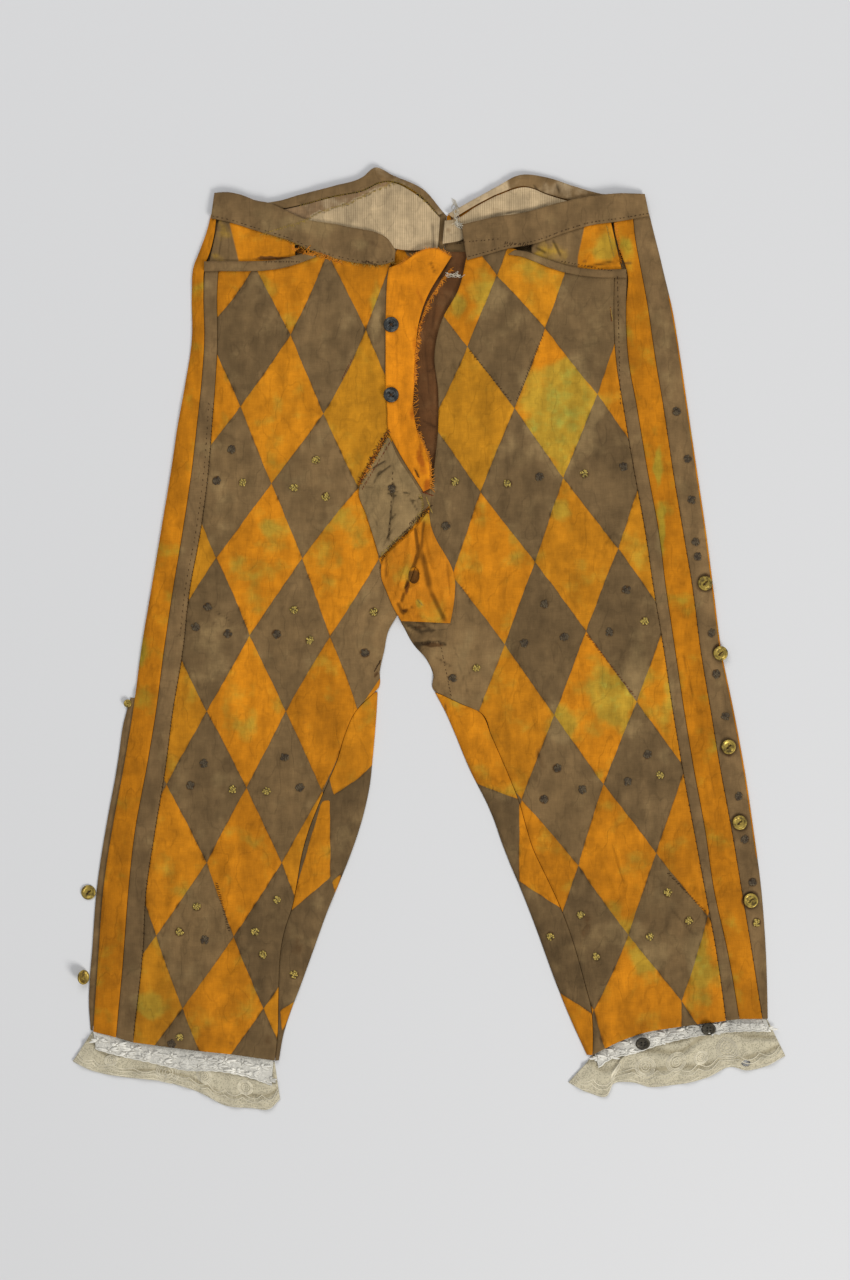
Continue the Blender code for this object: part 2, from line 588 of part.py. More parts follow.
def make_left_leg(cloths, group):
    """Front panel, side tape, orange stripe, button strip and inseam piece of the left leg."""
    inner, split = left_inner_edge()
    y = leg_stations(inner, LEFT_TAPE_FOOT, LEFT_FRONT_TOP[-1][1])
    tape_in = stack(column(LEFT_SECTIONS, "tape_inner", y), y)
    half = SEAM_GAP / 2.0

    panel_left = inset(inner, (1, 0), half)
    panel_right = inset(tape_in, (-1, 0), half)
    width = panel_right[:, 0] - panel_left[:, 0]
    across = from_edge(width, EDGE_ROLL, PANEL_CELLS)
    hem_points = (tuple(panel_left[0]), *LEFT_HEM[1:4], tuple(panel_right[0]))
    hem = end_curve(hem_points, panel_left[0][0] + across[0] * width[0])
    top = end_curve(LEFT_FRONT_TOP, panel_left[-1][0] + across[-1] * width[-1])
    grid = patch_grid(panel_left, panel_right, hem, top, across)
    front_cloth("front_left", grid, cloths["lozenge"], group)

    hem_drop = np.linspace(1.0, 0.0, HEM_STATIONS)
    tape_out = stack(column(LEFT_SECTIONS, "tape_outer", y), y)
    tape_out[:HEM_STATIONS, 1] += (LEFT_STRIP_FOOT - y[0]) * hem_drop
    grid = strip_grid(inset(tape_in, (1, 0), half), inset(tape_out, (-1, 0), half), (0.0, 1.0))
    front_cloth("side_tape_left", grid, cloths["brown"], group)

    stripe_y = np.concatenate((y, LEFT_STRIPE_ROWS))
    stripe_in = stack(column(LEFT_SECTIONS, "tape_outer", stripe_y), stripe_y)
    stripe_in[:HEM_STATIONS, 1] = tape_out[:HEM_STATIONS, 1]
    stripe_out = stack(column(LEFT_SECTIONS, "stripe_outer", stripe_y), stripe_y)
    stripe_out[:HEM_STATIONS, 1] = tape_out[:HEM_STATIONS, 1]
    grid = strip_grid(inset(stripe_in, (1, 0), half), inset(stripe_out, (-1, 0), half), (0.0, 0.5, 1.0))
    front_cloth("side_stripe_left", grid, cloths["orange"], group)

    outer = stack(column(LEFT_SECTIONS, "outer", stripe_y), stripe_y)
    outer[:HEM_STATIONS, 1] = tape_out[:HEM_STATIONS, 1]
    edge = inset(stripe_out, (1, 0), half)
    width = np.maximum(outer[:, 0] - edge[:, 0], STRIP_LEAST)
    outer[:, 0] = edge[:, 0] + width
    across = 1.0 - from_edge(width, EDGE_ROLL, STRIP_CELLS)[:, ::-1]
    front_cloth("button_strip_left", strip_grid(edge, outer, across), cloths["brown"], group)

    seam = inset(inner[:split], (-1, 0), half)
    fold_y = np.linspace(LEFT_INNER_FOLD[-1][1], LEFT_INNER_FOLD[0][1] - 1.0, split)
    fold = stack(column(LEFT_FOLD_TABLE, "x", fold_y), fold_y)
    width = np.maximum(seam[:, 0] - fold[:, 0], INSEAM_LEAST["left"])
    fold[:, 0] = seam[:, 0] - width
    across = from_edge(width, EDGE_ROLL, STRIP_CELLS)
    front_cloth("inseam_left", strip_grid(fold, seam, across), cloths["lozenge"], group)


def back_grid(side, outer_table, crotch, fold, top, hem):
    """One back panel from its outer edge to the centre back seam; side is -1 right, 1 left."""
    inward = (side, 0)
    leg = np.concatenate((smooth(fold[::-1], BACK_LEG_ROWS)[:-1], smooth(crotch[::-1], CROTCH_STATIONS)))
    leg = inset(leg, inward, BACK_INSET)
    seam = smooth(CENTRE_SEAM, BACK_SEAM_ROWS)[::-1]
    seam[0] += BACK_APEX
    inner = np.concatenate((leg[:-1], inset(seam, inward, SEAM_GAP / 2.0)))
    top = np.array(top, float)
    hem = np.array(hem, float)
    low = np.linspace(hem[0, 1], BACK_LEG_TOP, len(leg) - 1)
    high = np.array(BACK_HIGH_ROWS, float)
    heights = np.concatenate((low, high))
    outer = stack(column(outer_table, "outer", heights) - side * BACK_INSET, heights)
    if side < 0:
        beside_strip = soft_step((STRIP_ROOM["top"] - heights) / STRIP_ROOM["fade"])
        outer[:, 0] += (STRIP_ROOM["inset"] - BACK_INSET) * beside_strip
    outer[-1] = top[0]
    inner[-1] = top[-1] + (side * SEAM_GAP / 2.0, -0.5)
    width = inner[-1, 0] - outer[-1, 0]
    across = (top[:, 0] - outer[-1, 0]) / width
    across[-1] = 1.0
    top[-1] = inner[-1]
    low_x = outer[0, 0] + across * (inner[0, 0] - outer[0, 0])
    order = np.argsort(hem[:, 0])
    low_y = np.interp(low_x, hem[order, 0], hem[order, 1]) + BACK_HEM_RISE
    outer[0, 1], inner[0, 1] = low_y[0], low_y[-1]
    return patch_grid(outer, inner, stack(low_x, low_y), top, across)


def make_backs(cloths, group):
    """The two back panels, flat on the surface, meeting at the centre back seam."""
    right = back_grid(-1, RIGHT_SECTIONS, RIGHT_CROTCH, RIGHT_INNER_FOLD, RIGHT_BACK_TOP, RIGHT_HEM)
    cloth("back_right", right, 0.0, CLOTH_WALL, cloths["lozenge"], group)
    left = back_grid(1, LEFT_SECTIONS, LEFT_CROTCH, LEFT_INNER_FOLD, LEFT_BACK_TOP[::-1],
                     LEFT_HEM[::-1])
    cloth("back_left", left, 0.0, CLOTH_WALL, cloths["lozenge"], group)


def make_waist(cloths, group):
    """Linings and brown facings inside the back, and the two front waistbands over the panels."""
    for side, band, lining in (("right", RIGHT_BACK_BAND, RIGHT_LINING),
                               ("left", LEFT_BACK_BAND, LEFT_LINING)):
        grid = strip_grid(np.array(band["inner"], float), np.array(band["outer"], float), (0.0, 1.0))
        cloth(f"back_band_{side}", grid, INSIDE_REST, CLOTH_WALL, cloths["brown"], group)
        grid = strip_grid(np.array(lining["lower"], float), np.array(lining["upper"], float),
                          (0.0, 0.35, 0.7, 1.0))
        cloth(f"lining_{side}", grid, INSIDE_REST, LINING_WALL, cloths["lining"], group)

    for side, band in (("right", RIGHT_BAND), ("left", LEFT_BAND)):
        lower_edge = smooth(band["lower"], BAND_STATIONS)
        upper_edge = smooth(band["upper"], BAND_STATIONS)
        grid = strip_grid(lower_edge, upper_edge, (0.0, 0.34, 1.0))
        base = front_floor(grid[..., 0], np.minimum(grid[..., 1], BAND_FLOOR_TOP))
        over_lining = soft_step((BAND_REST[side] - np.abs(grid[..., 0])) / BAND_FADE)
        floor = np.maximum(base, (INSIDE_REST + OVERLAY - 0.05) * over_lining)
        floor = floor + np.array(BAND_LIFT)[None, :]
        cloth(f"waistband_{side}", grid, floor, BAND_WALL, cloths["brown"], group)


def make_pockets(cloths, group):
    """The facings behind the slanted pocket mouths and the bindings along the mouths."""
    halves = (0.0, 0.5, 1.0)
    for side, facing, binding in (("right", RIGHT_FACING, RIGHT_BINDING),
                                  ("left", LEFT_FACING, LEFT_BINDING)):
        grid = strip_grid(np.array(facing["lower"], float), np.array(facing["upper"], float), halves)
        front_cloth(f"pocket_facing_{side}", grid, cloths["facing"], group)
        grid = strip_grid(smooth(binding["lower"], BINDING_STATIONS),
                          smooth(binding["upper"], BINDING_STATIONS), halves)
        front_cloth(f"pocket_binding_{side}", grid, cloths["brown"], group, OVERLAY)


def make_fly(cloths, group):
    """The dark facing under the opening and the frayed orange button stand over it."""
    left, right = table_edges(FLY_FACING)
    grid = strip_grid(left, right, (0.0, 0.5, 1.0))
    cloth("fly_facing", grid, INSIDE_REST + 0.1, LINING_WALL, cloths["facing_dark"], group)

    left, right = table_edges(FLY_STAND)
    left = np.concatenate((np.array(FLY_STAND_TAIL["left"][:0:-1], float), left[::-1]))
    right = np.concatenate((np.array(FLY_STAND_TAIL["right"][:0:-1], float), right[::-1]))
    across = np.array(FLY_STAND_COLUMNS)
    top = end_curve(FLY_STAND_TOP, left[-1][0] + across * (right[-1][0] - left[-1][0]))
    bottom = (1.0 - across[:, None]) * left[0] + across[:, None] * right[0]
    grid = patch_grid(left, right, bottom, top, across)
    base = front_floor(grid[..., 0], grid[..., 1]) + OVERLAY
    fading_in = np.clip(np.arange(len(grid)) / len(FLY_STAND_TAIL["left"]), 0.0, 1.0)[:, None]
    floor = base + fading_in * np.array(FLY_STAND_FOLD)[None, :]
    cloth("fly_stand", grid, floor, CLOTH_WALL, cloths["orange"], group)


def make_crotch(cloths, group, cutters):
    """The light brown patch and the orange gusset with its worn hole."""
    grid = strip_grid(smooth(PATCH["left"], PATCH_STATIONS), smooth(PATCH["right"], PATCH_STATIONS),
                      np.linspace(0.0, 1.0, 5))
    front_cloth("crotch_patch", grid, cloths["patch"], group, OVERLAY)
    grid = strip_grid(smooth(GUSSET["left"], GUSSET_STATIONS), smooth(GUSSET["right"], GUSSET_STATIONS),
                      np.linspace(0.0, 1.0, 6))
    lower = highest_near(grid[..., 0], grid[..., 1], GUSSET_REACH) + OVERLAY
    gusset = cloth("gusset", grid, lower, CLOTH_WALL, cloths["orange"], group)
    cut_hole(gusset, GUSSET_HOLE, cutters)


def cut_hole(piece, hole, cutters):
    """An oval hole cut straight through a piece."""
    bpy.ops.mesh.primitive_cylinder_add(vertices=HOLE_SIDES, radius=0.5, depth=HOLE_DEPTH * MM)
    cutter = bpy.context.object
    cutter.name = piece.name + "_hole"
    for corner in cutter.data.vertices:
        corner.co.x = corner.co.x * hole["width"] * MM + (hole["x"] - CENTRE_X) * MM
        corner.co.y = corner.co.y * hole["height"] * MM + (hole["y"] - CENTRE_Y) * MM
    cutter.hide_render = True
    cutter.display_type = "WIRE"
    for holder in list(cutter.users_collection):
        holder.objects.unlink(cutter)
    cutters.objects.link(cutter)
    cut = piece.modifiers.new("Hole", "BOOLEAN")
    cut.operation = "DIFFERENCE"
    cut.solver = "EXACT"
    cut.object = cutter


def make_lace(cloths, group, cutters):
    """Gathered lace ends: the cream lace lies on the surface, the white one over it from under the hem."""
    for side, lace, waves, count in (
        ("right", RIGHT_LACE, RIGHT_LACE_WAVES, RIGHT_LACE_STATIONS),
        ("left", LEFT_LACE, LEFT_LACE_WAVES, LEFT_LACE_STATIONS),
    ):
        hem = smooth(lace["hem"], count)
        cream_edge = smooth(lace["cream"], count)
        white_edge = smooth(lace["white"], count)
        s = np.linspace(0.0, 1.0, count)
        drift = LACE_DRIFT["turns"] * np.sin(LACE_DRIFT["rate"] * s)
        wave = 0.5 - 0.5 * np.cos(2.0 * math.pi * waves * s + drift)
        t = np.array((0.0, 0.3, 0.65, 1.0))
        grid = strip_grid(hem - (0.0, SEAM_GAP), cream_edge, t)
        lower = LACE_LIFT * wave[:, None] * t[None, :]
        cream = cloth(f"lace_cream_{side}", grid, lower, LACE_WALL, cloths["lace_cream"], group)
        if side == "left":
            cut_hole(cream, LACE_HOLE, cutters)
        tuck = hem + (0.0, LACE_TUCK)
        tuck[0, 0] += LACE_TUCK_SIDE
        tuck[-1, 0] -= LACE_TUCK_SIDE
        below = hem - (0.0, 0.5)
        below[0, 0] += LACE_CORNER
        below[-1, 0] -= LACE_CORNER
        grid = np.stack((tuck, below, 0.5 * (below + white_edge), white_edge), axis=1)
        reach = np.linalg.norm(white_edge - hem, axis=1) / np.linalg.norm(cream_edge - hem, axis=1)
        follow = np.stack((0 * reach, 0 * reach, 0.5 * reach, reach), axis=1)
        lower = INSIDE_REST + LACE_LIFT * wave[:, None] * follow
        cloth(f"lace_white_{side}", grid, lower, LACE_WALL, cloths["lace_white"], group)


def button(name, radius, place, finish, group, turn=(0.0, 0.0, 0.0)):
    """A turned metal button: a dished face inside a raised rim, flat behind."""
    shape = bmesh.new()
    verts = [shape.verts.new((r * radius * MM, 0.0, z * BUTTON_THICKNESS * MM))
             for r, z in zip(BUTTON_PROFILE["radius"], BUTTON_PROFILE["height"])]
    for a, b in zip(verts[:-1], verts[1:]):
        shape.edges.new((a, b))
    mesh = bpy.data.meshes.new(name)
    shape.to_mesh(mesh)
    shape.free()
    mesh.materials.append(finish)
    made = bpy.data.objects.new(name, mesh)
    group.objects.link(made)
    screw = made.modifiers.new("Turned", "SCREW")
    screw.steps = BUTTON_SIDES
    screw.render_steps = BUTTON_SIDES
    screw.use_merge_vertices = True
    screw.merge_threshold = 0.00005
    screw.use_normal_calculate = True
    made.location = ((place[0] - CENTRE_X) * MM, (place[1] - CENTRE_Y) * MM, place[2] * MM)
    made.rotation_euler = [math.radians(a) for a in turn]
    return made


def under_button(x, y, radius):
    """The front layer's highest underside beneath a button."""
    return float(highest_near(np.array(x, float), np.array(y, float), 0.8 * radius))


def make_buttons(cloths, group):
    """Dark fly buttons, brass side buttons, and the ones that hang at the edge and the knee."""
    for count, (x, y) in enumerate(FLY_BUTTONS, 1):
        z = under_button(x, y, FLY_BUTTON_RADIUS) + OVERLAY + CLOTH_WALL + BUTTON_CLEARANCE
        button(f"fly_button_{count}", FLY_BUTTON_RADIUS, (x, y, z), cloths["dark_metal"], group)
    for count, (x, y) in enumerate(LEFT_SIDE_BUTTONS, 1):
        z = under_button(x, y, SIDE_BUTTON_RADIUS) + CLOTH_WALL + BUTTON_CLEARANCE
        button(f"side_button_left_{count}", SIDE_BUTTON_RADIUS, (x, y, z), cloths["brass"], group)
    x, y = RIGHT_FLAT_BUTTON
    button("side_button_right_1", SIDE_BUTTON_RADIUS, (x, y, 0.0), cloths["brass"], group)
    x, y = RIGHT_SMALL_BUTTON
    button("side_button_right_2", SMALL_BUTTON_RADIUS, (x, y, CLOTH_WALL + BUTTON_CLEARANCE),
           cloths["brass"], group)
    x, y = RIGHT_HANGING_BUTTON
    button("side_button_right_3", SIDE_BUTTON_RADIUS, (x, y, HANGING_HEIGHT), cloths["brass"], group,
           HANGING_TURN)
    for count, (x, y) in enumerate(KNEE_BUTTONS, 1):
        button(f"knee_button_{count}", SIDE_BUTTON_RADIUS, (x, y, KNEE_BUTTON_HEIGHT),
               cloths["dark_metal"], group, KNEE_BUTTON_TURN)


def main():
    start_empty()
    group = make_collection("knee_breeches")
    cutters = make_collection("cutters")
    cloths = {
        "lozenge": material("lozenge_cloth", (0.42, 0.22, 0.06), 0.85),
        "orange": material("orange_cotton", (0.70, 0.25, 0.01), 0.85),
        "brown": material("brown_cotton", (0.20, 0.14, 0.08), 0.9),
        "facing": material("pocket_facing_cotton", (0.45, 0.22, 0.04), 0.9),
        "facing_dark": material("dark_brown_twill", (0.10, 0.045, 0.015), 0.9),
        "patch": material("faded_brown_cotton", (0.25, 0.18, 0.11), 0.9),
        "lining": material("striped_lining", (0.50, 0.40, 0.25), 0.9),
        "lace_white": material("white_lace", (0.75, 0.73, 0.70), 0.9),
        "lace_cream": material("cream_lace", (0.60, 0.54, 0.42), 0.9),
        "brass": material("brass", (0.55, 0.42, 0.12), 0.35, 1.0),
        "dark_metal": material("blackened_metal", (0.06, 0.07, 0.08), 0.45, 0.8),
    }
    make_backs(cloths, group)
    make_waist(cloths, group)
    make_right_leg(cloths, group)
    make_left_leg(cloths, group)
    make_pockets(cloths, group)
    make_fly(cloths, group)
    make_crotch(cloths, group, cutters)
    make_lace(cloths, group, cutters)
    make_buttons(cloths, group)


main()
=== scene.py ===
# %% [markdown]
# # Knee breeches pieced from orange and brown lozenges
#
# Stage breeches of matt cotton, laid flat on their back. Two front panels of lozenge piecing, a brown
# tape and an orange stripe at each side, an open fly, a brown waistband, a striped lining and two rows
# of lace at the knee. The imported model gives every cloth piece as a plain wall. Here each wall is made
# again as a finer one in the same place, and gets its weave, stains, painted shade, seams and sewing.

# %% The imported model
import math

import bpy
import numpy as np
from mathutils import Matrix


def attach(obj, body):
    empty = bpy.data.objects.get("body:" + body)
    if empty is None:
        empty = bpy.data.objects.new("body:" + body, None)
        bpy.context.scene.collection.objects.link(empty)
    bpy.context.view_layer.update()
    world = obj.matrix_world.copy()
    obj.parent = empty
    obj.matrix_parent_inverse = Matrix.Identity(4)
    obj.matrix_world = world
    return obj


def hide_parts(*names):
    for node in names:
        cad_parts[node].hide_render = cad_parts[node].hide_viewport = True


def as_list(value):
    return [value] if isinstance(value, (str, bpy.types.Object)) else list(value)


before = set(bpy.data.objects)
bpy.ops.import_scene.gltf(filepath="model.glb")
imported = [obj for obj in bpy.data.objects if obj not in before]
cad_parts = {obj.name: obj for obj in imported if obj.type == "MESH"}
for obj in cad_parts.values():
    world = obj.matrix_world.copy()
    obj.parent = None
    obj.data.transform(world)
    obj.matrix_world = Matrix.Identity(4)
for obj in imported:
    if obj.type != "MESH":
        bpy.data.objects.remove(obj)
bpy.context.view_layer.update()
MM = 0.001

# %% [markdown]
# ## Camera, floor and light
#
# The breeches are photographed straight from above. A long lens keeps the straight lines straight: the
# camera stands 3 m up, and its focal length makes 1.152 m of floor fill the picture's long side. The
# light is a large soft source a little to the lower right, so shadows are faint and fall to the upper
# left, and a bright sky fills them.

# %% Camera
SENSOR = 36.0
VIEW_HEIGHT = 3.0
VIEW_LONG = 1.152
VIEW_CENTRE = (-0.0036, -0.0012)

camera_data = bpy.data.cameras.new("camera")
camera_data.sensor_width = SENSOR
camera_data.lens = SENSOR * VIEW_HEIGHT / VIEW_LONG
camera = bpy.data.objects.new("camera", camera_data)
camera.location = (*VIEW_CENTRE, VIEW_HEIGHT)
bpy.context.scene.collection.objects.link(camera)
bpy.context.scene.camera = camera
bpy.context.scene.view_settings.view_transform = "Standard"
print("lens:", round(camera_data.lens, 1), "mm")


# %% Soft light
def area_light(name, place, turn, size, power, colour=(1.0, 1.0, 1.0)):
    """A square soft source, turned in degrees about X, Y and Z."""
    data = bpy.data.lights.new(name, "AREA")
    data.size = size
    data.energy = power
    data.color = colour
    light = bpy.data.objects.new(name, data)
    light.location = place
    light.rotation_euler = [math.radians(a) for a in turn]
    bpy.context.scene.collection.objects.link(light)
    return light


area_light("key", (2.4, -2.7, 2.7), (45, 34, 0), 1.6, 144.0, (1.0, 0.99, 0.97))
area_light("fill", (-0.8, 2.6, 3.0), (-40, -12, 0), 2.6, 72.0, (0.97, 0.98, 1.0))
SKY = {"Color": (0.96, 0.97, 1.0, 1.0), "Strength": 0.37}
world = bpy.data.worlds.new("studio")
world.use_nodes = True
for title, value in SKY.items():
    world.node_tree.nodes["Background"].inputs[title].default_value = value
bpy.context.scene.world = world

# %% Floor
FLOOR_HALF = 3.0
PAPER = {"Base Color": (0.665, 0.665, 0.665, 1.0), "Roughness": 0.8, "Specular IOR Level": 0.2}

floor_mesh = bpy.data.meshes.new("floor")
floor_mesh.from_pydata([(-FLOOR_HALF, -FLOOR_HALF, 0), (FLOOR_HALF, -FLOOR_HALF, 0),
                        (FLOOR_HALF, FLOOR_HALF, 0), (-FLOOR_HALF, FLOOR_HALF, 0)], [], [(0, 1, 2, 3)])
floor = bpy.data.objects.new("floor", floor_mesh)
bpy.context.scene.collection.objects.link(floor)
paper = bpy.data.materials.new("paper")
paper.use_nodes = True
for title, value in PAPER.items():
    paper.node_tree.nodes["Principled BSDF"].inputs[title].default_value = value
floor_mesh.materials.append(paper)

# %% [markdown]
# ## The cut of the breeches
#
# All sizes below are millimetres. X runs across, Y from the knees up to the waist, and "right" is the
# wearer's right leg, at -X. The edges are short tables, the same ones that the solids were made from,
# so that every finer piece lies just where its solid does.

# %% Walls and layers
CLOTH_WALL = 1.4
LINING_WALL = 1.2
BAND_WALL = 1.6
SEAM_GAP = 0.3
INSIDE_REST = CLOTH_WALL + SEAM_GAP
FRONT_REST = INSIDE_REST + 0.05
OVERLAY = CLOTH_WALL + 0.45
EDGE_ROLL = 2.6
PUFF_REACH = 26.0
PUFF_HEIGHT = 2.4
HEM_LIFT = 1.5
HEM_REACH = 30.0
CREASE_FADE = 0.62
CENTRE_Y = 1.2

# %% Edges of the legs
RIGHT_SECTIONS = {
    "y": (379, 356, 335, 297, 261, 207, 153, 99, 45, -9, -63, -117, -171, -225, -279, -360),
    "outer": (-196, -204, -212, -213, -214, -224, -232, -241, -250, -259, -266, -275, -285,
              -293, -297, -302),
    "stripe_inner": (-191, -194.5, -201.5, -202, -202, -207, -213, -221, -230, -238, -245, -254,
                     -264, -270, -274, -281),
    "tape_inner": (-180, -185, -189, -190.5, -190, -194, -198, -205, -215, -221, -230, -237, -246,
                   -254, -257, -266),
}
LEFT_SECTIONS = {
    "y": (380, 356, 335, 297, 261, 207, 153, 99, 45, -9, -63, -117, -171, -225, -279, -350),
    "tape_inner": (154, 158, 165.5, 166, 167, 175, 184, 194, 202, 211, 219, 228, 238, 248, 258, 268),
    "tape_outer": (165, 169, 177, 177, 178, 187, 196, 206, 213, 221, 229, 238, 248, 256, 268, 280),
    "stripe_outer": (183, 186, 190, 197, 202, 211, 219, 228, 237, 244, 253, 262, 272, 281, 290, 301),
    "outer": (198, 205, 210, 219, 225, 233, 241, 249, 256, 263, 274, 284, 292, 299, 303, 305),
}
BUTTON_STRIP_EDGE = {
    "y": (-52, -63, -117, -171, -225, -279, -324, -357),
    "x": (-268.5, -272, -281, -291, -299, -303, -306, -304),
}
CENTRE_SEAM = ((16, 382), (11, 306), (4, 216), (2, 137), (-3, 96), (-13, 65), (-22, 38), (-28, 23))
RIGHT_CROTCH = ((-28, 23), (-36, 9), (-40, -9), (-44, -27), (-46, -44))
RIGHT_INSEAM = ((-49, -47), (-65, -63), (-84, -112), (-96, -140), (-111, -180), (-123, -240),
                (-132, -270), (-135, -310), (-136, -355), (-138.5, -378))
RIGHT_INNER_FOLD = ((-46, -44), (-47, -63), (-50, -99), (-54, -135), (-63, -171), (-76, -207),
                    (-91, -243), (-104, -279), (-117, -315), (-130, -351), (-135, -378))
LEFT_CROTCH = ((-28, 23), (-22, 10), (-12, -7), (1, -22), (5, -46))
LEFT_INSEAM = ((47, -66), (64, -104), (80, -143), (94, -189), (108, -218), (120, -245),
               (129, -270), (139, -305), (146.5, -336), (147, -373))
LEFT_LOZENGE_EDGE = ((28, -57), (12, -49.5))
LEFT_INNER_FOLD = ((5, -46), (14, -63), (22, -81), (37, -117), (55, -153), (68, -189), (83, -225),
                   (97, -261), (110, -297), (124, -333), (142, -373))
RIGHT_FLY_EDGE = ((-8, 165), (-30, 190), (-33, 232), (-34, 275), (-34, 318), (-34, 342))
LEFT_FLY_EDGE = ((5, 160), (8, 190), (8, 223), (5, 262), (9, 281), (16, 297), (29, 321), (34, 346))
RIGHT_HEM = ((-302, -352), (-281, -357), (-248, -365), (-208, -369), (-180, -372), (-137, -378.5))
LEFT_HEM = ((147, -373), (162, -365), (193, -353), (222, -348), (243, -343), (280, -340), (305, -340))
HEM_CORNERS = {"x": (-302, -137, 147, 305), "y": (-352, -379, -373, -340)}
RIGHT_FRONT_TOP = ((-191, 335), (-161, 336), (-131, 338), (-113, 345), (-95, 350), (-82, 347),
                   (-58, 343), (-36, 342))
LEFT_FRONT_TOP = ((34, 346), (55, 351), (68, 354.5), (85, 347.5), (103, 339.5), (121, 333),
                  (144, 330), (166, 329))

# %% Waist, pockets and fly
RIGHT_BINDING = {
    "upper": ((-202, 340), (-180, 340), (-161, 340), (-135, 341.5), (-119, 345.5), (-106, 348)),
    "lower": ((-202, 331), (-180, 331), (-161, 331), (-131, 334), (-113, 339.5), (-101, 344)),
}
LEFT_BINDING = {
    "upper": ((77, 350.3), (88, 348.6), (103, 343), (121, 337), (144, 333), (177, 333)),
    "lower": ((71, 346), (85, 343.5), (103, 336), (121, 330), (144, 326), (177, 325)),
}
RIGHT_FACING = {
    "lower": ((-197.8, 337.3), (-161, 338), (-134, 339.8), (-120, 343.8)),
    "upper": ((-188.5, 380), (-165, 373.5), (-140, 366), (-121, 359)),
}
LEFT_FACING = {
    "lower": ((92, 346.2), (106, 340.5), (122, 334.6), (143, 331.7), (173.4, 331)),
    "upper": ((92, 358), (108, 364), (124, 370), (142, 375), (162.3, 380)),
}
RIGHT_BAND = {
    "upper": ((-193, 402), (-176, 402), (-156, 395), (-140, 391.5), (-127, 385), (-111, 378),
              (-86, 374), (-68, 370), (-50, 367), (-39, 362), (-30, 350)),
    "lower": ((-196, 379), (-179, 375), (-160, 369), (-147, 365), (-127, 359), (-102, 348),
              (-82, 342), (-62, 338), (-49, 337), (-40, 337), (-31, 340)),
}
LEFT_BAND = {
    "upper": ((29, 373), (45, 377), (59, 380), (85, 384), (114, 392), (141, 398), (166, 401),
              (194, 401)),
    "lower": ((34, 341), (52, 346), (69, 351), (96, 356), (121, 365), (144, 372), (172, 376),
              (198, 381)),
}
RIGHT_BACK_TOP = ((-191, 398), (-166, 397), (-140, 392), (-116, 399), (-86, 407), (-60, 415),
                  (-48, 423), (-34, 417), (-4, 403), (16, 382))
LEFT_BACK_TOP = ((16, 382), (40, 395), (60, 406), (82, 417), (105, 415), (130, 407),
                 (159, 400), (192, 398))
RIGHT_BACK_BAND = {
    "outer": ((-150, 392.5), (-134, 395), (-117, 400), (-86, 408), (-60, 416), (-48, 424.8),
              (-33, 418), (-4, 404), (13, 384)),
    "inner": ((-150, 382), (-134, 387), (-116, 391), (-86, 399), (-58, 405), (-46, 411),
              (-34, 412.5), (-7, 399), (9, 382)),
}
LEFT_BACK_BAND = {
    "outer": ((17, 383), (40, 396), (60, 407), (82, 418), (105, 416), (130, 408), (156, 401),
              (174, 400)),
    "inner": ((22, 379), (42, 391), (64, 402), (86, 408), (107, 401), (130, 394.5), (152, 393),
              (172, 392)),
}
BAND_REST = {"right": 168.0, "left": 191.0}
BAND_FADE = 14.0
BAND_FLOOR_TOP = 372.0
RIGHT_LINING = {
    "upper": ((-146, 383), (-132, 386.5), (-115, 390.4), (-86, 398), (-58, 404), (-46, 410),
              (-34, 411.5), (-9, 398.5), (10, 379.5)),
    "lower": ((-146, 377), (-132, 377), (-115, 371), (-88, 365), (-66, 361), (-50, 358),
              (-35, 353), (-14, 350), (8, 352)),
}
LEFT_LINING = {
    "upper": ((14, 377), (24, 378.5), (43, 390), (65, 401), (87, 407), (107, 400), (130, 393.5),
              (150, 392)),
    "lower": ((12, 356), (24, 358), (43, 365), (65, 370), (87, 375), (108, 381), (130, 386),
              (150, 389)),
}
FLY_STAND = {
    "y": (334, 324, 304, 282, 257, 231, 206, 186),
    "left": (-36, -37.5, -38.5, -39, -39, -39, -37.5, -36),
    "right": (20, 12, -1, -9, -12, -13, -14, -10),
}
FLY_STAND_TOP = ((-36, 334), (-28, 335.5), (-16, 345), (-2, 351), (8, 351), (20, 344))
FLY_STAND_COLUMNS = (0.0, 0.26, 0.52, 0.72, 0.86, 1.0)
FLY_STAND_FOLD = (0.0, 0.0, 0.0, 1.4, 0.2, -0.6)
FLY_STAND_TAIL = {
    "left": ((-36, 186), (-29, 172), (-21, 158), (-12, 144), (-5, 133)),
    "right": ((-10, 186), (-5, 176), (0, 162), (1.5, 148), (1, 136)),
}
FLY_FACING = {
    "y": (349, 333, 320, 295, 279, 266, 223, 175, 137),
    "left": (-2, -4, -8, -14, -20, -24, -25, -24, -10),
    "right": (36, 36, 33, 19, 12, 11, 13, 13, 7),
}
PATCH = {
    "left": ((-38, 182), (-50, 160), (-63, 138), (-54, 106), (-45, 76)),
    "right": ((-35.5, 181), (-23, 155), (-7, 131), (-5, 121), (-14, 103), (-28, 90), (-43, 75)),
}
GUSSET = {
    "left": ((-2, 114), (-12, 101), (-26, 87.5), (-41, 72.5), (-44, 64), (-40, 49), (-31, 27),
             (-25, 17)),
    "right": ((0, 114), (4, 95), (10, 84), (16, 74), (22, 61), (23, 38), (19, 15)),
}
GUSSET_REACH = 9.0
GUSSET_HOLE = {"x": -13.5, "y": 58.0, "width": 10.0, "height": 15.0}

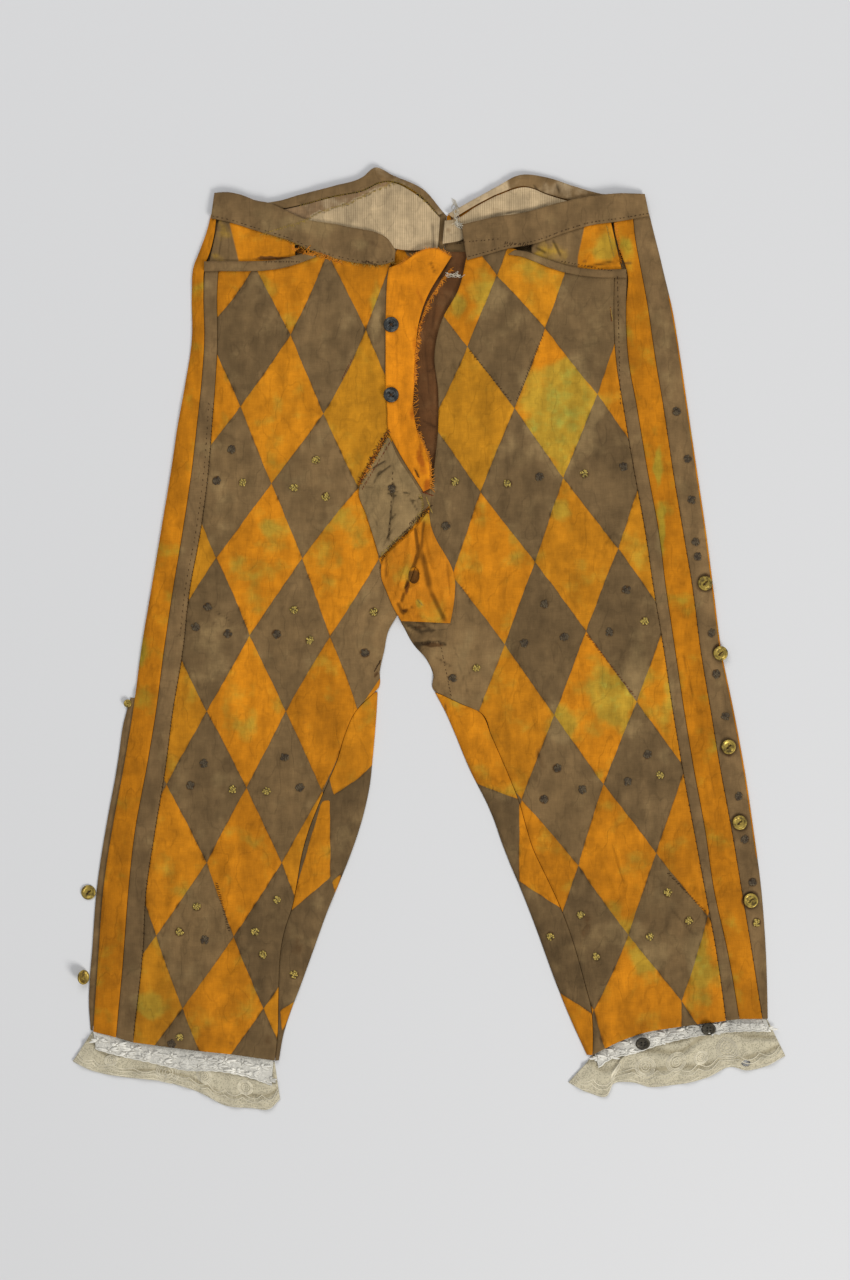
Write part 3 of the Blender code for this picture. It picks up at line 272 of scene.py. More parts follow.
# %% Large folds of the fronts
# Middle, direction in degrees, length, half width and height of each
FRONT_FOLDS = (
    (-92, 292, 38, 120, 13, 1.1), (88, 300, 128, 105, 12, 1.0), (-160, -120, 84, 210, 16, 1.2),
    (-105, 30, 62, 170, 15, 1.3), (66, 20, 121, 180, 15, 1.3), (176, -110, 98, 230, 17, 1.2),
    (150, -260, 118, 150, 13, 1.0), (-215, -260, 80, 160, 14, 1.0),
)

# %% [markdown]
# ## Curves and grids
#
# A cloth piece is a grid: rows run across it, and each row goes from one edge to the other. Blender's
# curve objects could draw the edges, but numpy makes the whole grid at once and keeps rows and columns,
# which the seams, folds and weave then follow.


# %% Smooth curves
def smooth(points, count):
    """`count` places on a Catmull-Rom curve through the points, evenly spaced along its chords."""
    p = np.asarray(points, float)
    chord = np.concatenate(([0.0], np.cumsum(np.linalg.norm(np.diff(p, axis=0), axis=1))))
    return curve_at(p, chord, np.linspace(0.0, chord[-1], count))


def curve_at(p, knots, at):
    """A cubic through the rows of p, which belong to the knots, read at the values `at`."""
    slope = np.gradient(p, knots, axis=0) if len(p) > 2 else np.repeat((p[1:] - p[:1]) / knots[1], 2, 0)
    left = np.clip(np.searchsorted(knots, at, side="right") - 1, 0, len(p) - 2)
    shape = (len(at),) + (1,) * (p.ndim - 1)
    span = (knots[left + 1] - knots[left]).reshape(shape)
    t = (at - knots[left]).reshape(shape) / span
    return ((2 * t**3 - 3 * t**2 + 1) * p[left] + (t**3 - 2 * t**2 + t) * span * slope[left]
            + (3 * t**2 - 2 * t**3) * p[left + 1] + (t**3 - t**2) * span * slope[left + 1])


def column(table, name, y):
    """A section table's column read at heights y, joined by a smooth curve."""
    y = np.asarray(y, float)
    knots = np.array(table["y"], float)[::-1]
    values = np.array(table[name], float)[::-1]
    inside = np.clip(y, knots[0], knots[-1]).ravel()
    return curve_at(values, knots, inside).reshape(y.shape)


def stack(x, y):
    return np.stack((x, y), axis=-1)


def by_height(points):
    """An edge's points as a section table, so that x can be read at any height."""
    p = np.asarray(points, float)
    p = p[np.argsort(-p[:, 1])]
    return {"y": p[:, 1], "x": p[:, 0]}


def table_edges(table):
    """The left and right edges that a section table gives, as points."""
    y = np.array(table["y"], float)
    return stack(np.array(table["left"], float), y), stack(np.array(table["right"], float), y)


def soft_step(t):
    t = np.clip(t, 0.0, 1.0)
    return t * t * (3.0 - 2.0 * t)


def edge_pair(table, first, second):
    return np.array(table[first], float), np.array(table[second], float)


# %% Grids between edges
def end_curve(points, x):
    """An end edge read at the given places across, so that columns stay straight."""
    fine = smooth(points, 60)
    return stack(x, np.interp(x, fine[:, 0], fine[:, 1]))


def strip_grid(left, right, across):
    """Rows straight across between two edges."""
    u = np.asarray(across, float)
    if u.ndim == 1:
        u = np.tile(u, (len(left), 1))
    return (1.0 - u[:, :, None]) * left[:, None, :] + u[:, :, None] * right[:, None, :]


def patch_grid(left, right, bottom, top, across):
    """A Coons patch: rows run from the left edge to the right edge, rounded to the end curves."""
    rows = strip_grid(left, right, across)
    v = np.linspace(0.0, 1.0, len(left))[:, None, None]
    return rows + (1.0 - v) ** 3 * (bottom - rows[0])[None] + v**3 * (top - rows[-1])[None]


def inset(edge, inward, amount):
    """An edge moved towards the inside of its piece, square to itself."""
    along = np.gradient(edge, axis=0)
    along /= np.linalg.norm(along, axis=1)[:, None]
    side = np.stack((-along[:, 1], along[:, 0]), axis=1)
    sign = np.sign((side * np.asarray(inward, float)).sum(axis=1))
    sign[sign == 0] = 1.0
    return edge + side * sign[:, None] * amount


def from_edge(width, near, cells):
    """Fractions across a strip of each row's width: the edge, the end of its roll, then even cells."""
    width = np.asarray(width, float)[:, None]
    roll = np.clip(near / width, 0.005, 0.45)
    rest = np.linspace(0.0, 1.0, cells + 1)[None, :]
    return np.concatenate((np.zeros_like(width), roll + (1.0 - roll) * rest), axis=1)


def leg_stations(inner, hem_outer, top_outer):
    """Heights of the outer edges that pair with the points of an inner edge, hem first."""
    y = inner[:, 1]
    return hem_outer + (y - y[0]) / (y[-1] - y[0]) * (top_outer - hem_outer)


def finer(grid, spacing, rim=0.5):
    """The same sheet with cells of about `spacing`, and a narrow cell of width `rim` along each side.
    Each direction is a smooth curve through the coarse grid's rows, then through its columns."""
    for axis in (0, 1):
        grid = np.moveaxis(grid, axis, 0)
        steps = np.linalg.norm(np.diff(grid, axis=0), axis=-1)
        knots = np.concatenate(([0.0], np.cumsum(steps.mean(axis=1))))
        length = knots[-1]
        count = max(4, int(round(length / spacing)))
        edge = min(rim, 0.2 * length / count)
        at = np.concatenate(([0.0], np.linspace(edge, length - edge, count), [length]))
        grid = np.moveaxis(curve_at(grid, knots, at), 0, axis)
    return grid


# %% [markdown]
# ## How the layers lie
#
# The backs lie flat on the surface. The fronts roll down to it at their sides, lie on the backs' edges
# and puff up a little between. A few long ridges, worked out as bell curves across a line that fade at
# its ends, are the folds one sees from a step away. The small creases and the unevenness of old cotton
# are added to that, with the same function of the place for every layer, so the layers never cross.

# %% Floor of the front layer
RIGHT_FOLD_TABLE = by_height(RIGHT_CROTCH[:-1] + RIGHT_INNER_FOLD)
LEFT_FOLD_TABLE = by_height(LEFT_CROTCH[:-1] + LEFT_INNER_FOLD)


def edge_distance(x, y):
    """How far a place lies inside the laid outline of its own leg, measured across."""
    crotch = CENTRE_SEAM[-1][1]
    right_fold = column(RIGHT_FOLD_TABLE, "x", y)
    left_fold = column(LEFT_FOLD_TABLE, "x", y)
    right_inner = np.where(y < crotch, right_fold, np.inf)
    left_inner = np.where(y < crotch, left_fold, -np.inf)
    on_right = x < np.where(y < crotch, 0.5 * (right_fold + left_fold), 0.0)
    across_right = np.minimum(x - column(RIGHT_SECTIONS, "outer", y), right_inner - x)
    across_left = np.minimum(column(LEFT_SECTIONS, "outer", y) - x, x - left_inner)
    return np.maximum(np.where(on_right, across_right, across_left), 0.0)


def ridges(x, y, rows):
    """Sum of bell-shaped ridges along short lines, each given by its middle, direction, length, half
    width and height."""
    height = np.zeros_like(x)
    for mid_x, mid_y, degrees, length, half_width, rise in rows:
        turn = math.radians(degrees)
        along = (x - mid_x) * math.cos(turn) + (y - mid_y) * math.sin(turn)
        across = (y - mid_y) * math.cos(turn) - (x - mid_x) * math.sin(turn)
        fade = soft_step(1.25 - np.abs(along) / (0.5 * length))
        height += rise * np.exp(-((across / half_width) ** 2)) * fade
    return height


def front_floor(x, y):
    """Underside of the front layer: rolled down at the sides, puffed up between, with its folds."""
    inside = edge_distance(x, y)
    rolled = np.clip(inside / EDGE_ROLL, 0.0, 1.0)
    far = np.clip((inside - EDGE_ROLL) / PUFF_REACH, 0.0, 1.0)
    puff = PUFF_HEIGHT * (1.0 - (1.0 - far) ** 2)
    above_hem = y - np.interp(x, HEM_CORNERS["x"], HEM_CORNERS["y"])
    open_hem = HEM_LIFT * (1.0 - soft_step(above_hem / HEM_REACH)) * rolled
    folds = ridges(x, y, FRONT_FOLDS) * np.clip(far / CREASE_FADE, 0.0, 1.0)
    return FRONT_REST * rolled + np.maximum(puff, open_hem) + folds


def highest_near(x, y, reach):
    """The front layer's highest underside within `reach` of each place."""
    steps = (-reach, 0.0, reach)
    return np.max([front_floor(x + dx, y + dy) for dx in steps for dy in steps], axis=0)


# %% Places marked in the photo
PHOTO_MM = 0.9
PHOTO_ZERO = (429.0, 640.0)


def on_cloth(marked):
    """Pixels of the photo as millimetres of the cut."""
    p = np.asarray(marked, float)
    return stack((p[..., 0] - PHOTO_ZERO[0]) * PHOTO_MM, (PHOTO_ZERO[1] - p[..., 1]) * PHOTO_MM)


def creases(x, y, rows):
    """Ridges, or troughs below 0, between two marked pixels, with a half width and a height in mm."""
    height = np.zeros_like(x)
    for x0, y0, x1, y1, half_width, rise in rows:
        a, b = on_cloth((x0, y0)), on_cloth((x1, y1))
        length = float(np.hypot(*(b - a)))
        s, c = (b - a) / length
        along = ((x - a[0]) * s + (y - a[1]) * c) / length
        across = (x - a[0]) * c - (y - a[1]) * s
        fade = soft_step(np.minimum(along + 0.12, 1.12 - along) / 0.3)
        height += rise * np.exp(-((across / half_width) ** 2)) * fade
    return height


# Soft drag lines and creases of the panels, in pixels of the photo
PANEL_CREASES = (
    (300, 700, 285, 860, 7, 0.8), (345, 720, 322, 800, 3, 0.7), (330, 640, 352, 560, 5, 0.7),
    (220, 612, 243, 628, 1.8, 0.7), (212, 666, 233, 667, 1.6, 0.6), (240, 760, 262, 690, 5, 0.7),
    (200, 930, 236, 850, 6, 0.8), (208, 1000, 250, 960, 5, 0.6), (160, 1000, 178, 930, 5, 0.6),
    (320, 300, 335, 400, 5, 0.8), (270, 300, 256, 380, 6, 0.7), (300, 420, 342, 396, 4, -0.25),
    (455, 470, 446, 540, 5, 0.7), (476, 540, 482, 600, 5, 0.6), (560, 300, 548, 360, 5, 0.7),
    (600, 330, 618, 400, 5, 0.7), (585, 560, 604, 640, 6, 0.7), (520, 640, 540, 730, 5, 0.8),
    (600, 850, 622, 905, 2.6, 0.9), (612, 838, 628, 892, 2.4, 0.8), (560, 830, 585, 900, 4, 0.6),
    (676, 910, 700, 936, 2.4, 0.8), (655, 930, 690, 950, 2.2, 0.7), (690, 850, 702, 912, 4, 0.7),
    (575, 930, 590, 1005, 7, 1.2), (560, 915, 573, 985, 4, -0.3), (500, 700, 531, 790, 3, 0.7),
    (610, 560, 640, 500, 7, 0.7), (650, 700, 664, 800, 5, 0.7), (415, 642, 450, 640, 2.6, 1.1),
    (412, 650, 446, 652, 2.6, -0.3), (170, 420, 182, 470, 3, 0.7), (150, 650, 160, 690, 3, 0.6),
    (158, 552, 176, 554, 1.6, 0.7), (700, 700, 712, 830, 3.4, 0.8), (690, 560, 702, 640, 3.4, 0.7),
    (640, 300, 650, 380, 4, 0.6), (630, 268, 640, 300, 2.6, 0.7), (120, 900, 132, 1000, 4, 0.7),
    (500, 280, 530, 310, 3, 0.6), (470, 300, 462, 330, 3, 0.7), (600, 960, 640, 1020, 7, 0.8),
    (700, 980, 720, 1030, 4, 0.6), (240, 1010, 262, 1060, 4, 0.6), (350, 640, 372, 600, 3, 0.7),
)


# %% Unevenness of the cloth
def soft_noise(x, y, size, seed):
    """Smooth random heights from -1 to 1: seeded numbers on a square net, joined by soft steps."""
    net = np.random.default_rng(seed).uniform(-1.0, 1.0, (64, 64))
    gx, gy = x / size + 500.0, y / size + 500.0
    ix, iy = np.floor(gx).astype(int), np.floor(gy).astype(int)
    tx, ty = soft_step(gx - ix), soft_step(gy - iy)
    low = net[iy % 64, ix % 64] * (1 - tx) + net[iy % 64, (ix + 1) % 64] * tx
    high = net[(iy + 1) % 64, ix % 64] * (1 - tx) + net[(iy + 1) % 64, (ix + 1) % 64] * tx
    return low * (1 - ty) + high * ty


def turned(x, y, degrees):
    """The places turned about the origin, so that two nets of noise don't line up."""
    c, s = math.cos(math.radians(degrees)), math.sin(math.radians(degrees))
    return x * c - y * s, x * s + y * c


def crumple(x, y):
    """Broad, middle and small unevenness of worn cotton, never below 0."""
    broad = soft_noise(*turned(x, y, 17), 46.0, 3)
    middle = np.abs(soft_noise(*turned(x, y, -31), 19.0, 5))
    small = np.abs(soft_noise(*turned(x, y, 8), 8.5, 11))
    return 0.45 * (1.0 + broad) + 0.8 * (1.0 - middle) ** 2 + 0.34 * (1.0 - small) ** 2


CREASE_GAIN = 1.6
CREASE_DEPTH = 0.3
SHARE_AT_SIDES = 0.12


def relief(x, y):
    """What every upper layer is lifted by, fading out at the sides of the legs."""
    far = np.clip((edge_distance(x, y) - EDGE_ROLL) / PUFF_REACH, 0.0, 1.0)
    marked = np.maximum(CREASE_GAIN * creases(x, y, PANEL_CREASES), -CREASE_DEPTH)
    return (crumple(x, y) + marked + CREASE_DEPTH) * np.clip(far / CREASE_FADE, SHARE_AT_SIDES, 1.0)


# %% [markdown]
# ## The lozenges
#
# Each leg's lozenges are sewn in rows, and old sewing is never quite even. The table gives each row's
# first corner, its pitch, how much it climbs, bows and sways. A place on the cloth is turned into the
# two counts a and b across the lozenge's two pairs of sides. Whole numbers are seams, and the cloth
# is brown where the counts' whole parts add up to an even number. The counts are stored as a UV map.

# %% Rows of lozenges
RIGHT_LOZENGES = {
    "row": tuple(range(-2, 12)),
    "y": (393, 331, 274, 213, 144, 74, 5, -64, -129.5, -200, -265.5, -331, -396, -462),
    "x": (-192, -189.5, -196.5, -206.5, -219.5, -228.5, -233, -234.5, -234, -233.5, -245, -258, -271,
          -284),
    "pitch": (66, 65.5, 72, 74.5, 78, 77, 72, 71, 70, 67.5, 69.5, 73, 75.5, 76),
    "climb": (22, 11, 0, -6.5, -3.5, -0.5, -1, 0, -3, 0, -1, 0, 0, 0),
    "bow": (0, 0, 5, 0, 0, 0, 0, 0, 0, 0, 0, 0, 0, 0),
    "sway": (0, 0, -4.5, 0, 0, -4, 0, -3, -2, 0, 0, 0, 0, 0),
}
LEFT_LOZENGES = {
    "row": tuple(range(-2, 12)),
    "y": (378, 309, 267.5, 202, 133, 64, -4, -73.5, -143.5, -208, -282, -336, -463, -600),
    "x": (20, 26.5, 34.5, 39.5, 46, 58, 68, 75.5, 83, 99, 107.5, 109, 69.5, 69.5),
    "pitch": (69, 69, 69.5, 74.5, 74.5, 74.5, 73, 74, 73.5, 70, 71.5, 78.5, 135, 135),
    "climb": (25, 29.5, 12.5, 12.5, 12.5, 12, 12, 12, 14, 11, 17, 8, 0, 0),
    "bow": (0, 14, -4, 0, 0, 0, 0, 0, 0, 0, 0, 0, 0, 0),
    "sway": (0,) * 14,
}
LOZENGE_ACROSS = 63.5
COUNT_ROUNDS = 14
PUCKER_PITCH = 9.0


def lozenge_counts(x, y, rows):
    """The counts a = u + v/2 and b = u - v/2, where v counts rows and u corners along a row.
    Rows climb, so v and u are found in turn until both agree with the place."""
    v_of = np.array(rows["row"], float)
    u = np.zeros_like(x)
    v = np.zeros_like(x)
    for _ in range(COUNT_ROUNDS):
        lift = np.interp(v, v_of, rows["climb"]) * u + np.interp(v, v_of, rows["bow"]) * (u - 1.0) ** 2
        v = np.interp(-(y - lift), -np.array(rows["y"], float), v_of)
        sway = np.interp(v, v_of, rows["sway"]) * (u - 1.0) ** 2
        u = (x - sway - np.interp(v, v_of, rows["x"])) / np.interp(v, v_of, rows["pitch"])
    return stack(u + 0.5 * v, u - 0.5 * v)


def seam_distance(counts):
    """Millimetres to the nearest lozenge seam."""
    off = np.abs(counts - np.round(counts))
    return off.min(axis=-1) * LOZENGE_ACROSS


def seam_pucker(counts, x, y):
    """A seam pulls the cloth into a narrow groove with small puckers square to it: waves along each
    seam that die away within a few millimetres."""
    d = seam_distance(counts)
    uneven = 1.0 + 0.8 * soft_noise(x, y, 14.0, 31)
    groove = uneven * (-0.42 * np.exp(-((d / 1.6) ** 2)) + 0.25 * np.exp(-(((d - 6.0) / 4.0) ** 2)))
    shift = 5.0 * soft_noise(x, y, 26.0, 37)
    for i in (0, 1):
        near = np.abs(counts[..., i] - np.round(counts[..., i])) * LOZENGE_ACROSS
        wave = np.sin(2.0 * math.pi * counts[..., 1 - i] * LOZENGE_ACROSS / PUCKER_PITCH + shift)
        groove += 0.22 * wave * np.exp(-((near / 6.0) ** 2)) * uneven
    return groove


# %% [markdown]
# ## Walls of cloth
#
# A sheet is a closed wall: its top is the grid at one height, its underside the same grid lower down,
# and a rim joins them. Blender's Solidify could give the thickness, but it moves points sideways, and
# the pieces here meet at seams 0.3 mm wide. So both sides are computed.


# %% Closed walls
def wall_mesh(name, grid, low, high, maps=None, keep=None, values=None):
    """A closed wall over a grid of places (in mm), between two heights, with its UV maps and values.
    `keep` marks the cells that stay, and each edge with a cell on one side only gets a rim."""
    rows, cols = grid.shape[:2]
    count = rows * cols
    index = np.arange(count).reshape(rows, cols)
    quads = np.stack((index[:-1, :-1], index[:-1, 1:], index[1:, 1:], index[1:, :-1]), -1)
    quads = quads.reshape(-1, 4) if keep is None else quads[keep]
    turn = np.cross(grid[:-1, 1:] - grid[:-1, :-1], grid[1:, :-1] - grid[:-1, :-1])
    if turn.sum() < 0:
        quads = quads[:, ::-1]
    a = quads.ravel()
    b = np.roll(quads, -1, axis=1).ravel()
    lone = ~np.isin(a * count + b, b * count + a)
    a, b = a[lone], b[lone]
    faces = np.concatenate((quads, quads[:, ::-1] + count, np.stack((b, a, a + count, b + count), -1)))
    used, faces = np.unique(faces, return_inverse=True)
    faces = faces.reshape(-1, 4)
    flat = np.tile(grid.reshape(-1, 2), (2, 1))
    places = np.column_stack((flat, np.concatenate((np.ravel(high), np.ravel(low)))))[used]
    places[:, 1] -= CENTRE_Y
    mesh = bpy.data.meshes.new(name)
    mesh.from_pydata((places * MM).tolist(), [], faces.tolist())
    for title, pairs in (maps or {}).items():
        both = np.tile(pairs.reshape(-1, 2), (2, 1))[used]
        corners = both[faces.ravel()].astype(np.float32).ravel()
        mesh.uv_layers.new(name=title).data.foreach_set("uv", corners)
    for title, numbers in (values or {}).items():
        both = np.tile(np.ravel(numbers), 2)[used].astype(np.float32)
        mesh.attributes.new(title, "FLOAT", "POINT").data.foreach_set("value", both)
    mesh.shade_smooth()
    return mesh


def with_hole(grid, hole):
    """The cells outside an oval hole, and the grid with the hole's border drawn onto the oval."""
    size = np.array((hole["width"], hole["height"])) / 2.0
    middle = np.array((hole["x"], hole["y"]))
    centres = 0.25 * (grid[:-1, :-1] + grid[1:, :-1] + grid[:-1, 1:] + grid[1:, 1:])
    keep = np.linalg.norm((centres - middle) / size, axis=-1) > 1.0
    padded = np.pad(keep.astype(int), 1, constant_values=1)
    around = padded[:-1, :-1] + padded[1:, :-1] + padded[:-1, 1:] + padded[1:, 1:]
    away = (grid - middle) / size
    far = np.linalg.norm(away, axis=-1, keepdims=True)
    border = ((around > 0) & (around < 4))[..., None]
    return np.where(border, middle + away / np.maximum(far, 0.01) * size, grid), keep


def sheet_size(grid):
    """Greatest width along the rows and greatest length along the columns, in metres."""
    width = np.linalg.norm(np.diff(grid, axis=1), axis=-1).sum(axis=1).max()
    length = np.linalg.norm(np.diff(grid, axis=0), axis=-1).sum(axis=0).max()
    return float(width) * MM, float(length) * MM


def hand_values(grid, rows):
    """Soft spots at marked pixels: a strength in the middle of each, and 0 past its half sizes in mm."""
    value = np.zeros(grid.shape[:2])
    for x, y, half_width, half_height, strength in rows:
        size = 1.4 * min(half_width, half_height)
        drift = [soft_noise(grid[..., 0], grid[..., 1], size, seed) for seed in (23, 29)]
        away = (grid + 0.25 * size * stack(*drift) - on_cloth((x, y))) / (half_width, half_height)
        value = np.maximum(value, strength * soft_step(1.0 - np.linalg.norm(away, axis=-1)))
    return value


# %% Heights of the tops
MAP_CELL = 1.0
MAP_CORNER = (-345.0, -440.0)
top_map = np.zeros((890, 700))


def between(values, steps):
    """A grid with `steps` even places from each row and column to the next."""
    for axis in (0, 1):
        v = np.moveaxis(values, axis, 0)
        t = (np.arange(steps) / steps).reshape((1, steps) + (1,) * (v.ndim - 1))
        v = (v[:-1, None] * (1.0 - t) + v[1:, None] * t).reshape((-1,) + v.shape[1:])
        values = np.moveaxis(v, 0, axis)
    return values


def map_cells(xy):
    """Row and column of the map for each place."""
    cell = np.round((np.asarray(xy) - MAP_CORNER) / MAP_CELL).astype(int)
    return np.clip(cell[..., 1], 0, top_map.shape[0] - 1), np.clip(cell[..., 0], 0, top_map.shape[1] - 1)


def remember_top(grid, high):
    """Keeps a sheet's height in the map, where it is the highest so far."""
    steps = 8 if np.linalg.norm(grid[1, 1] - grid[2, 2]) > 4.0 else 4
    np.maximum.at(top_map, map_cells(between(grid, steps)), between(high, steps))


def top_at(xy):
    """The highest cloth at each place."""
    return top_map[map_cells(xy)]


# %% Adding a piece
triangle_count = 0


def add_piece(mesh, finish, slot, *nodes):
    """An object at the origin that carries a mesh, takes a finish and stands for its solids."""
    global triangle_count
    piece = bpy.data.objects.new(mesh.name, mesh)
    bpy.context.scene.collection.objects.link(piece)
    mesh.materials.append(finish)
    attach(piece, "root")
    if nodes:
        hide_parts(*nodes)
    mesh.calc_loop_triangles()
    triangle_count += len(mesh.loop_triangles)
    return piece


EDGE_SOFTNESS = 1.0
EDGE_DROP = 0.35
LEAST_CUT = 0.0101
LEAST_WALL = 0.25
SHADED_DEPTH = 1.1


def rounded(wall, grid, reach=EDGE_SOFTNESS):
    """How much the top drops towards the sheet's edge, as the quarter turn of a folded or cut edge."""
    ends = np.minimum(np.linalg.norm(grid - grid[:1], axis=-1), np.linalg.norm(grid - grid[-1:], axis=-1))
    sides = np.minimum(np.linalg.norm(grid - grid[:, :1], axis=-1),
                       np.linalg.norm(grid - grid[:, -1:], axis=-1))
    near = np.clip(np.minimum(ends, sides) / reach, 0.0, 1.0)
    return EDGE_DROP * wall * (1.0 - np.sqrt(1.0 - (1.0 - near) ** 2))


def sewn_sheet(name, grid, low, wall, finish, slot, rests_on, maps=None, extra=0.0, keep=None,
               values=None, darkened=()):
    """A sheet that replaces the solid called `name`. `low` and `extra` may vary over the grid."""
    extra = extra + 0.0 * grid[..., 0]
    high = low + wall + np.maximum(extra, LEAST_WALL - wall) - rounded(wall, grid)
    dark = stain_and_shadow_round_metal(grid)
    # Painted shade: troughs pressed below the wall and the cloth round the sewn-on metal are darkened by
    # this value
    shade = np.clip(-extra / SHADED_DEPTH, 0.0, 1.0)
    marks = {"fading": hand_values(grid, FADED_SPOTS),
             "soil_and_shade": np.maximum(hand_values(grid, (*SOIL_AND_SHADE_SPOTS, *darkened)), dark),
             "painted_shade": np.maximum(shade, METAL_HALO_SHADE * dark)}
    marks.update(values or {})
    mesh = wall_mesh(name + "_cloth", grid, low, high, maps, keep, marks)
    remember_top(grid, high)
    piece = add_piece(mesh, finish, slot, name)
    width, length = sheet_size(grid)
    width = max(width, LEAST_CUT)
    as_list(rests_on)
    return piece


# %% [markdown]
# ## Finishes
#
# Every cotton here shares one node group: long slubs along both thread directions, mottling, faint
# soil, painted shade in troughs, round the sewn-on metal and towards the bottom, and a change towards a
# faded colour where the sheet's own "fading" value says so. The group only gives a colour and a height.
# The lozenge finish adds the parity of its two counts in front.

# %% Wiring helpers
def paint(red, green, blue):
    """A colour given in the usual 0 to 255 steps, as the linear values that shaders need."""
    steps = np.array((red, green, blue)) / 255.0
    linear = np.where(steps <= 0.04045, steps / 12.92, ((steps + 0.055) / 1.055) ** 2.4)
    return (*[float(v) for v in linear], 1.0)


def feed(tree, socket, value):
    """Links another socket to an input, or sets the input to a plain value."""
    if isinstance(value, bpy.types.NodeSocket):
        tree.links.new(value, socket)
    else:
        socket.default_value = value


def node(tree, kind, inputs=None, **settings):
    """A node with its settings, its inputs set to values or linked from sockets."""
    made = tree.nodes.new("ShaderNode" + kind)
    for name, value in settings.items():
        setattr(made, name, value)
    for name, value in (inputs or {}).items():
        feed(tree, made.inputs[name], value)
    return made


def maths(tree, operation, *values):
    """One step of arithmetic on values or sockets."""
    return node(tree, "Math", dict(enumerate(values)), operation=operation).outputs[0]


def blend(tree, amount, first, second, mode="MIX"):
    """Two colours mixed by an amount."""
    made = node(tree, "Mix", {"Factor": amount}, data_type="RGBA", blend_type=mode)
    feed(tree, made.inputs[6], first)
    feed(tree, made.inputs[7], second)
    return made.outputs[2]


def ramp(tree, value, low, high, to_low=0.0, to_high=1.0):
    """A value's stretch from low to high spread over another range, with soft ends."""
    made = node(tree, "MapRange", {"Value": value, "From Min": low, "From Max": high,
                                   "To Min": to_low, "To Max": to_high}, interpolation_type="SMOOTHSTEP")
    return made.outputs["Result"]


def noise(tree, place, scale, detail=2.0, stretch=(1.0, 1.0, 1.0)):
    """Noise with a size in metres, longer where `stretch` is above 1."""
    size = [1.0 / (scale * s) for s in stretch]
    spread = node(tree, "Mapping", {"Vector": place, "Scale": size}).outputs[0]
    return node(tree, "TexNoise", {"Vector": spread, "Scale": 1.0, "Detail": detail}).outputs[0]


def new_group(name, ins, outs):
    """An empty node group with its sockets."""
    group = bpy.data.node_groups.new(name, "ShaderNodeTree")
    for title, kind in ins:
        group.interface.new_socket(title, in_out="INPUT", socket_type=kind)
    for title, kind in outs:
        group.interface.new_socket(title, in_out="OUTPUT", socket_type=kind)
    return group, group.nodes.new("NodeGroupInput"), group.nodes.new("NodeGroupOutput")


# %% Old cotton
LOWER_SHADE = (-0.30, 0.10, 0.84, 1.0)


def make_old_cotton():
    """Colour and height of worn cotton from its fresh and faded colours."""
    group, given, result = new_group(
        "old_cotton",
        (("Colour", "NodeSocketColor"), ("Faded", "NodeSocketColor"), ("Soil_and_shade", "NodeSocketColor")),
        (("Colour", "NodeSocketColor"), ("Height", "NodeSocketFloat")))
    place = node(group, "TexCoord").outputs["Object"]
    along = noise(group, place, 0.0007, 3.0, (14.0, 1.0, 1.0))
    across = noise(group, place, 0.0008, 3.0, (1.0, 11.0, 1.0))
    slub = maths(group, "MULTIPLY", maths(group, "ADD", along, across), 0.5)
    mottle = noise(group, place, 0.013, 5.0)
    broad = noise(group, place, 0.075, 3.0)
    spots = noise(group, place, 0.022, 6.0)
    fading = node(group, "Attribute", attribute_name="fading").outputs["Fac"]
    patchy = ramp(group, maths(group, "ADD", spots, maths(group, "MULTIPLY", fading, 0.4)), 0.52, 0.82)
    colour = blend(group, patchy, given.outputs["Colour"], given.outputs["Faded"])
    soil_and_shade = node(group, "Attribute", attribute_name="soil_and_shade").outputs["Fac"]
    darkened = ramp(group, maths(group, "ADD", maths(group, "MULTIPLY", mottle, 1.2),
                                maths(group, "MULTIPLY", soil_and_shade, 0.5)), 0.82, 1.2)
    colour = blend(group, maths(group, "MULTIPLY", darkened, 0.85), colour, given.outputs["Soil_and_shade"])
    streaks = noise(group, place, 0.008, 5.0, (1.0, 5.0, 1.0))
    smears = noise(group, place, 0.017, 3.0, (1.0, 2.2, 1.0))
    tone = ramp(group, node(group, "SeparateXYZ", {0: place}).outputs[1], *LOWER_SHADE)
    for value, low, high, dark, light in ((slub, 0.25, 0.75, 0.89, 1.11), (mottle, 0.25, 0.75, 0.84, 1.16),
                                          (broad, 0.3, 0.7, 0.92, 1.08), (streaks, 0.3, 0.7, 0.91, 1.08),
                                          (smears, 0.3, 0.7, 0.88, 1.1)):
        tone = maths(group, "MULTIPLY", tone, ramp(group, value, low, high, dark, light))
    # Thin crinkle lines, pressed into the height and darkened as painted shade
    level = maths(group, "SUBTRACT", noise(group, place, 0.019, 2.5, (1.0, 1.9, 1.0)), 0.5)
    crinkle = ramp(group, maths(group, "ABSOLUTE", level), 0.0, 0.035, 1.0, 0.0)
    tone = maths(group, "MULTIPLY", tone, ramp(group, crinkle, 0.0, 1.0, 1.0, 0.9))
    # Painted shade: the cotton is darkened where the sheet's shade value is high, in troughs and round the
    # metal
    folded = node(group, "Attribute", attribute_name="painted_shade").outputs["Fac"]
    tone = maths(group, "MULTIPLY", tone, ramp(group, folded, 0.1, 1.0, 1.0, 0.35))
    colour = node(group, "VectorMath", {0: colour, "Scale": tone}, operation="SCALE").outputs[0]
    group.links.new(colour, result.inputs["Colour"])
    height = maths(group, "ADD", slub, maths(group, "MULTIPLY", mottle, 1.6))
    group.links.new(maths(group, "ADD", height, maths(group, "MULTIPLY", crinkle, -0.7)),
                    result.inputs["Height"])
    return group


OLD_COTTON = make_old_cotton()


def cloth_shader(name, roughness=0.92, specular=0.16):
    """A material with a Principled shader for matt cloth."""
    made = bpy.data.materials.new(name)
    made.use_nodes = True
    shader = made.node_tree.nodes["Principled BSDF"]
    shader.inputs["Roughness"].default_value = roughness
    shader.inputs["Specular IOR Level"].default_value = specular
    return made, made.node_tree, shader


WEAVE_DEPTH = 0.00035


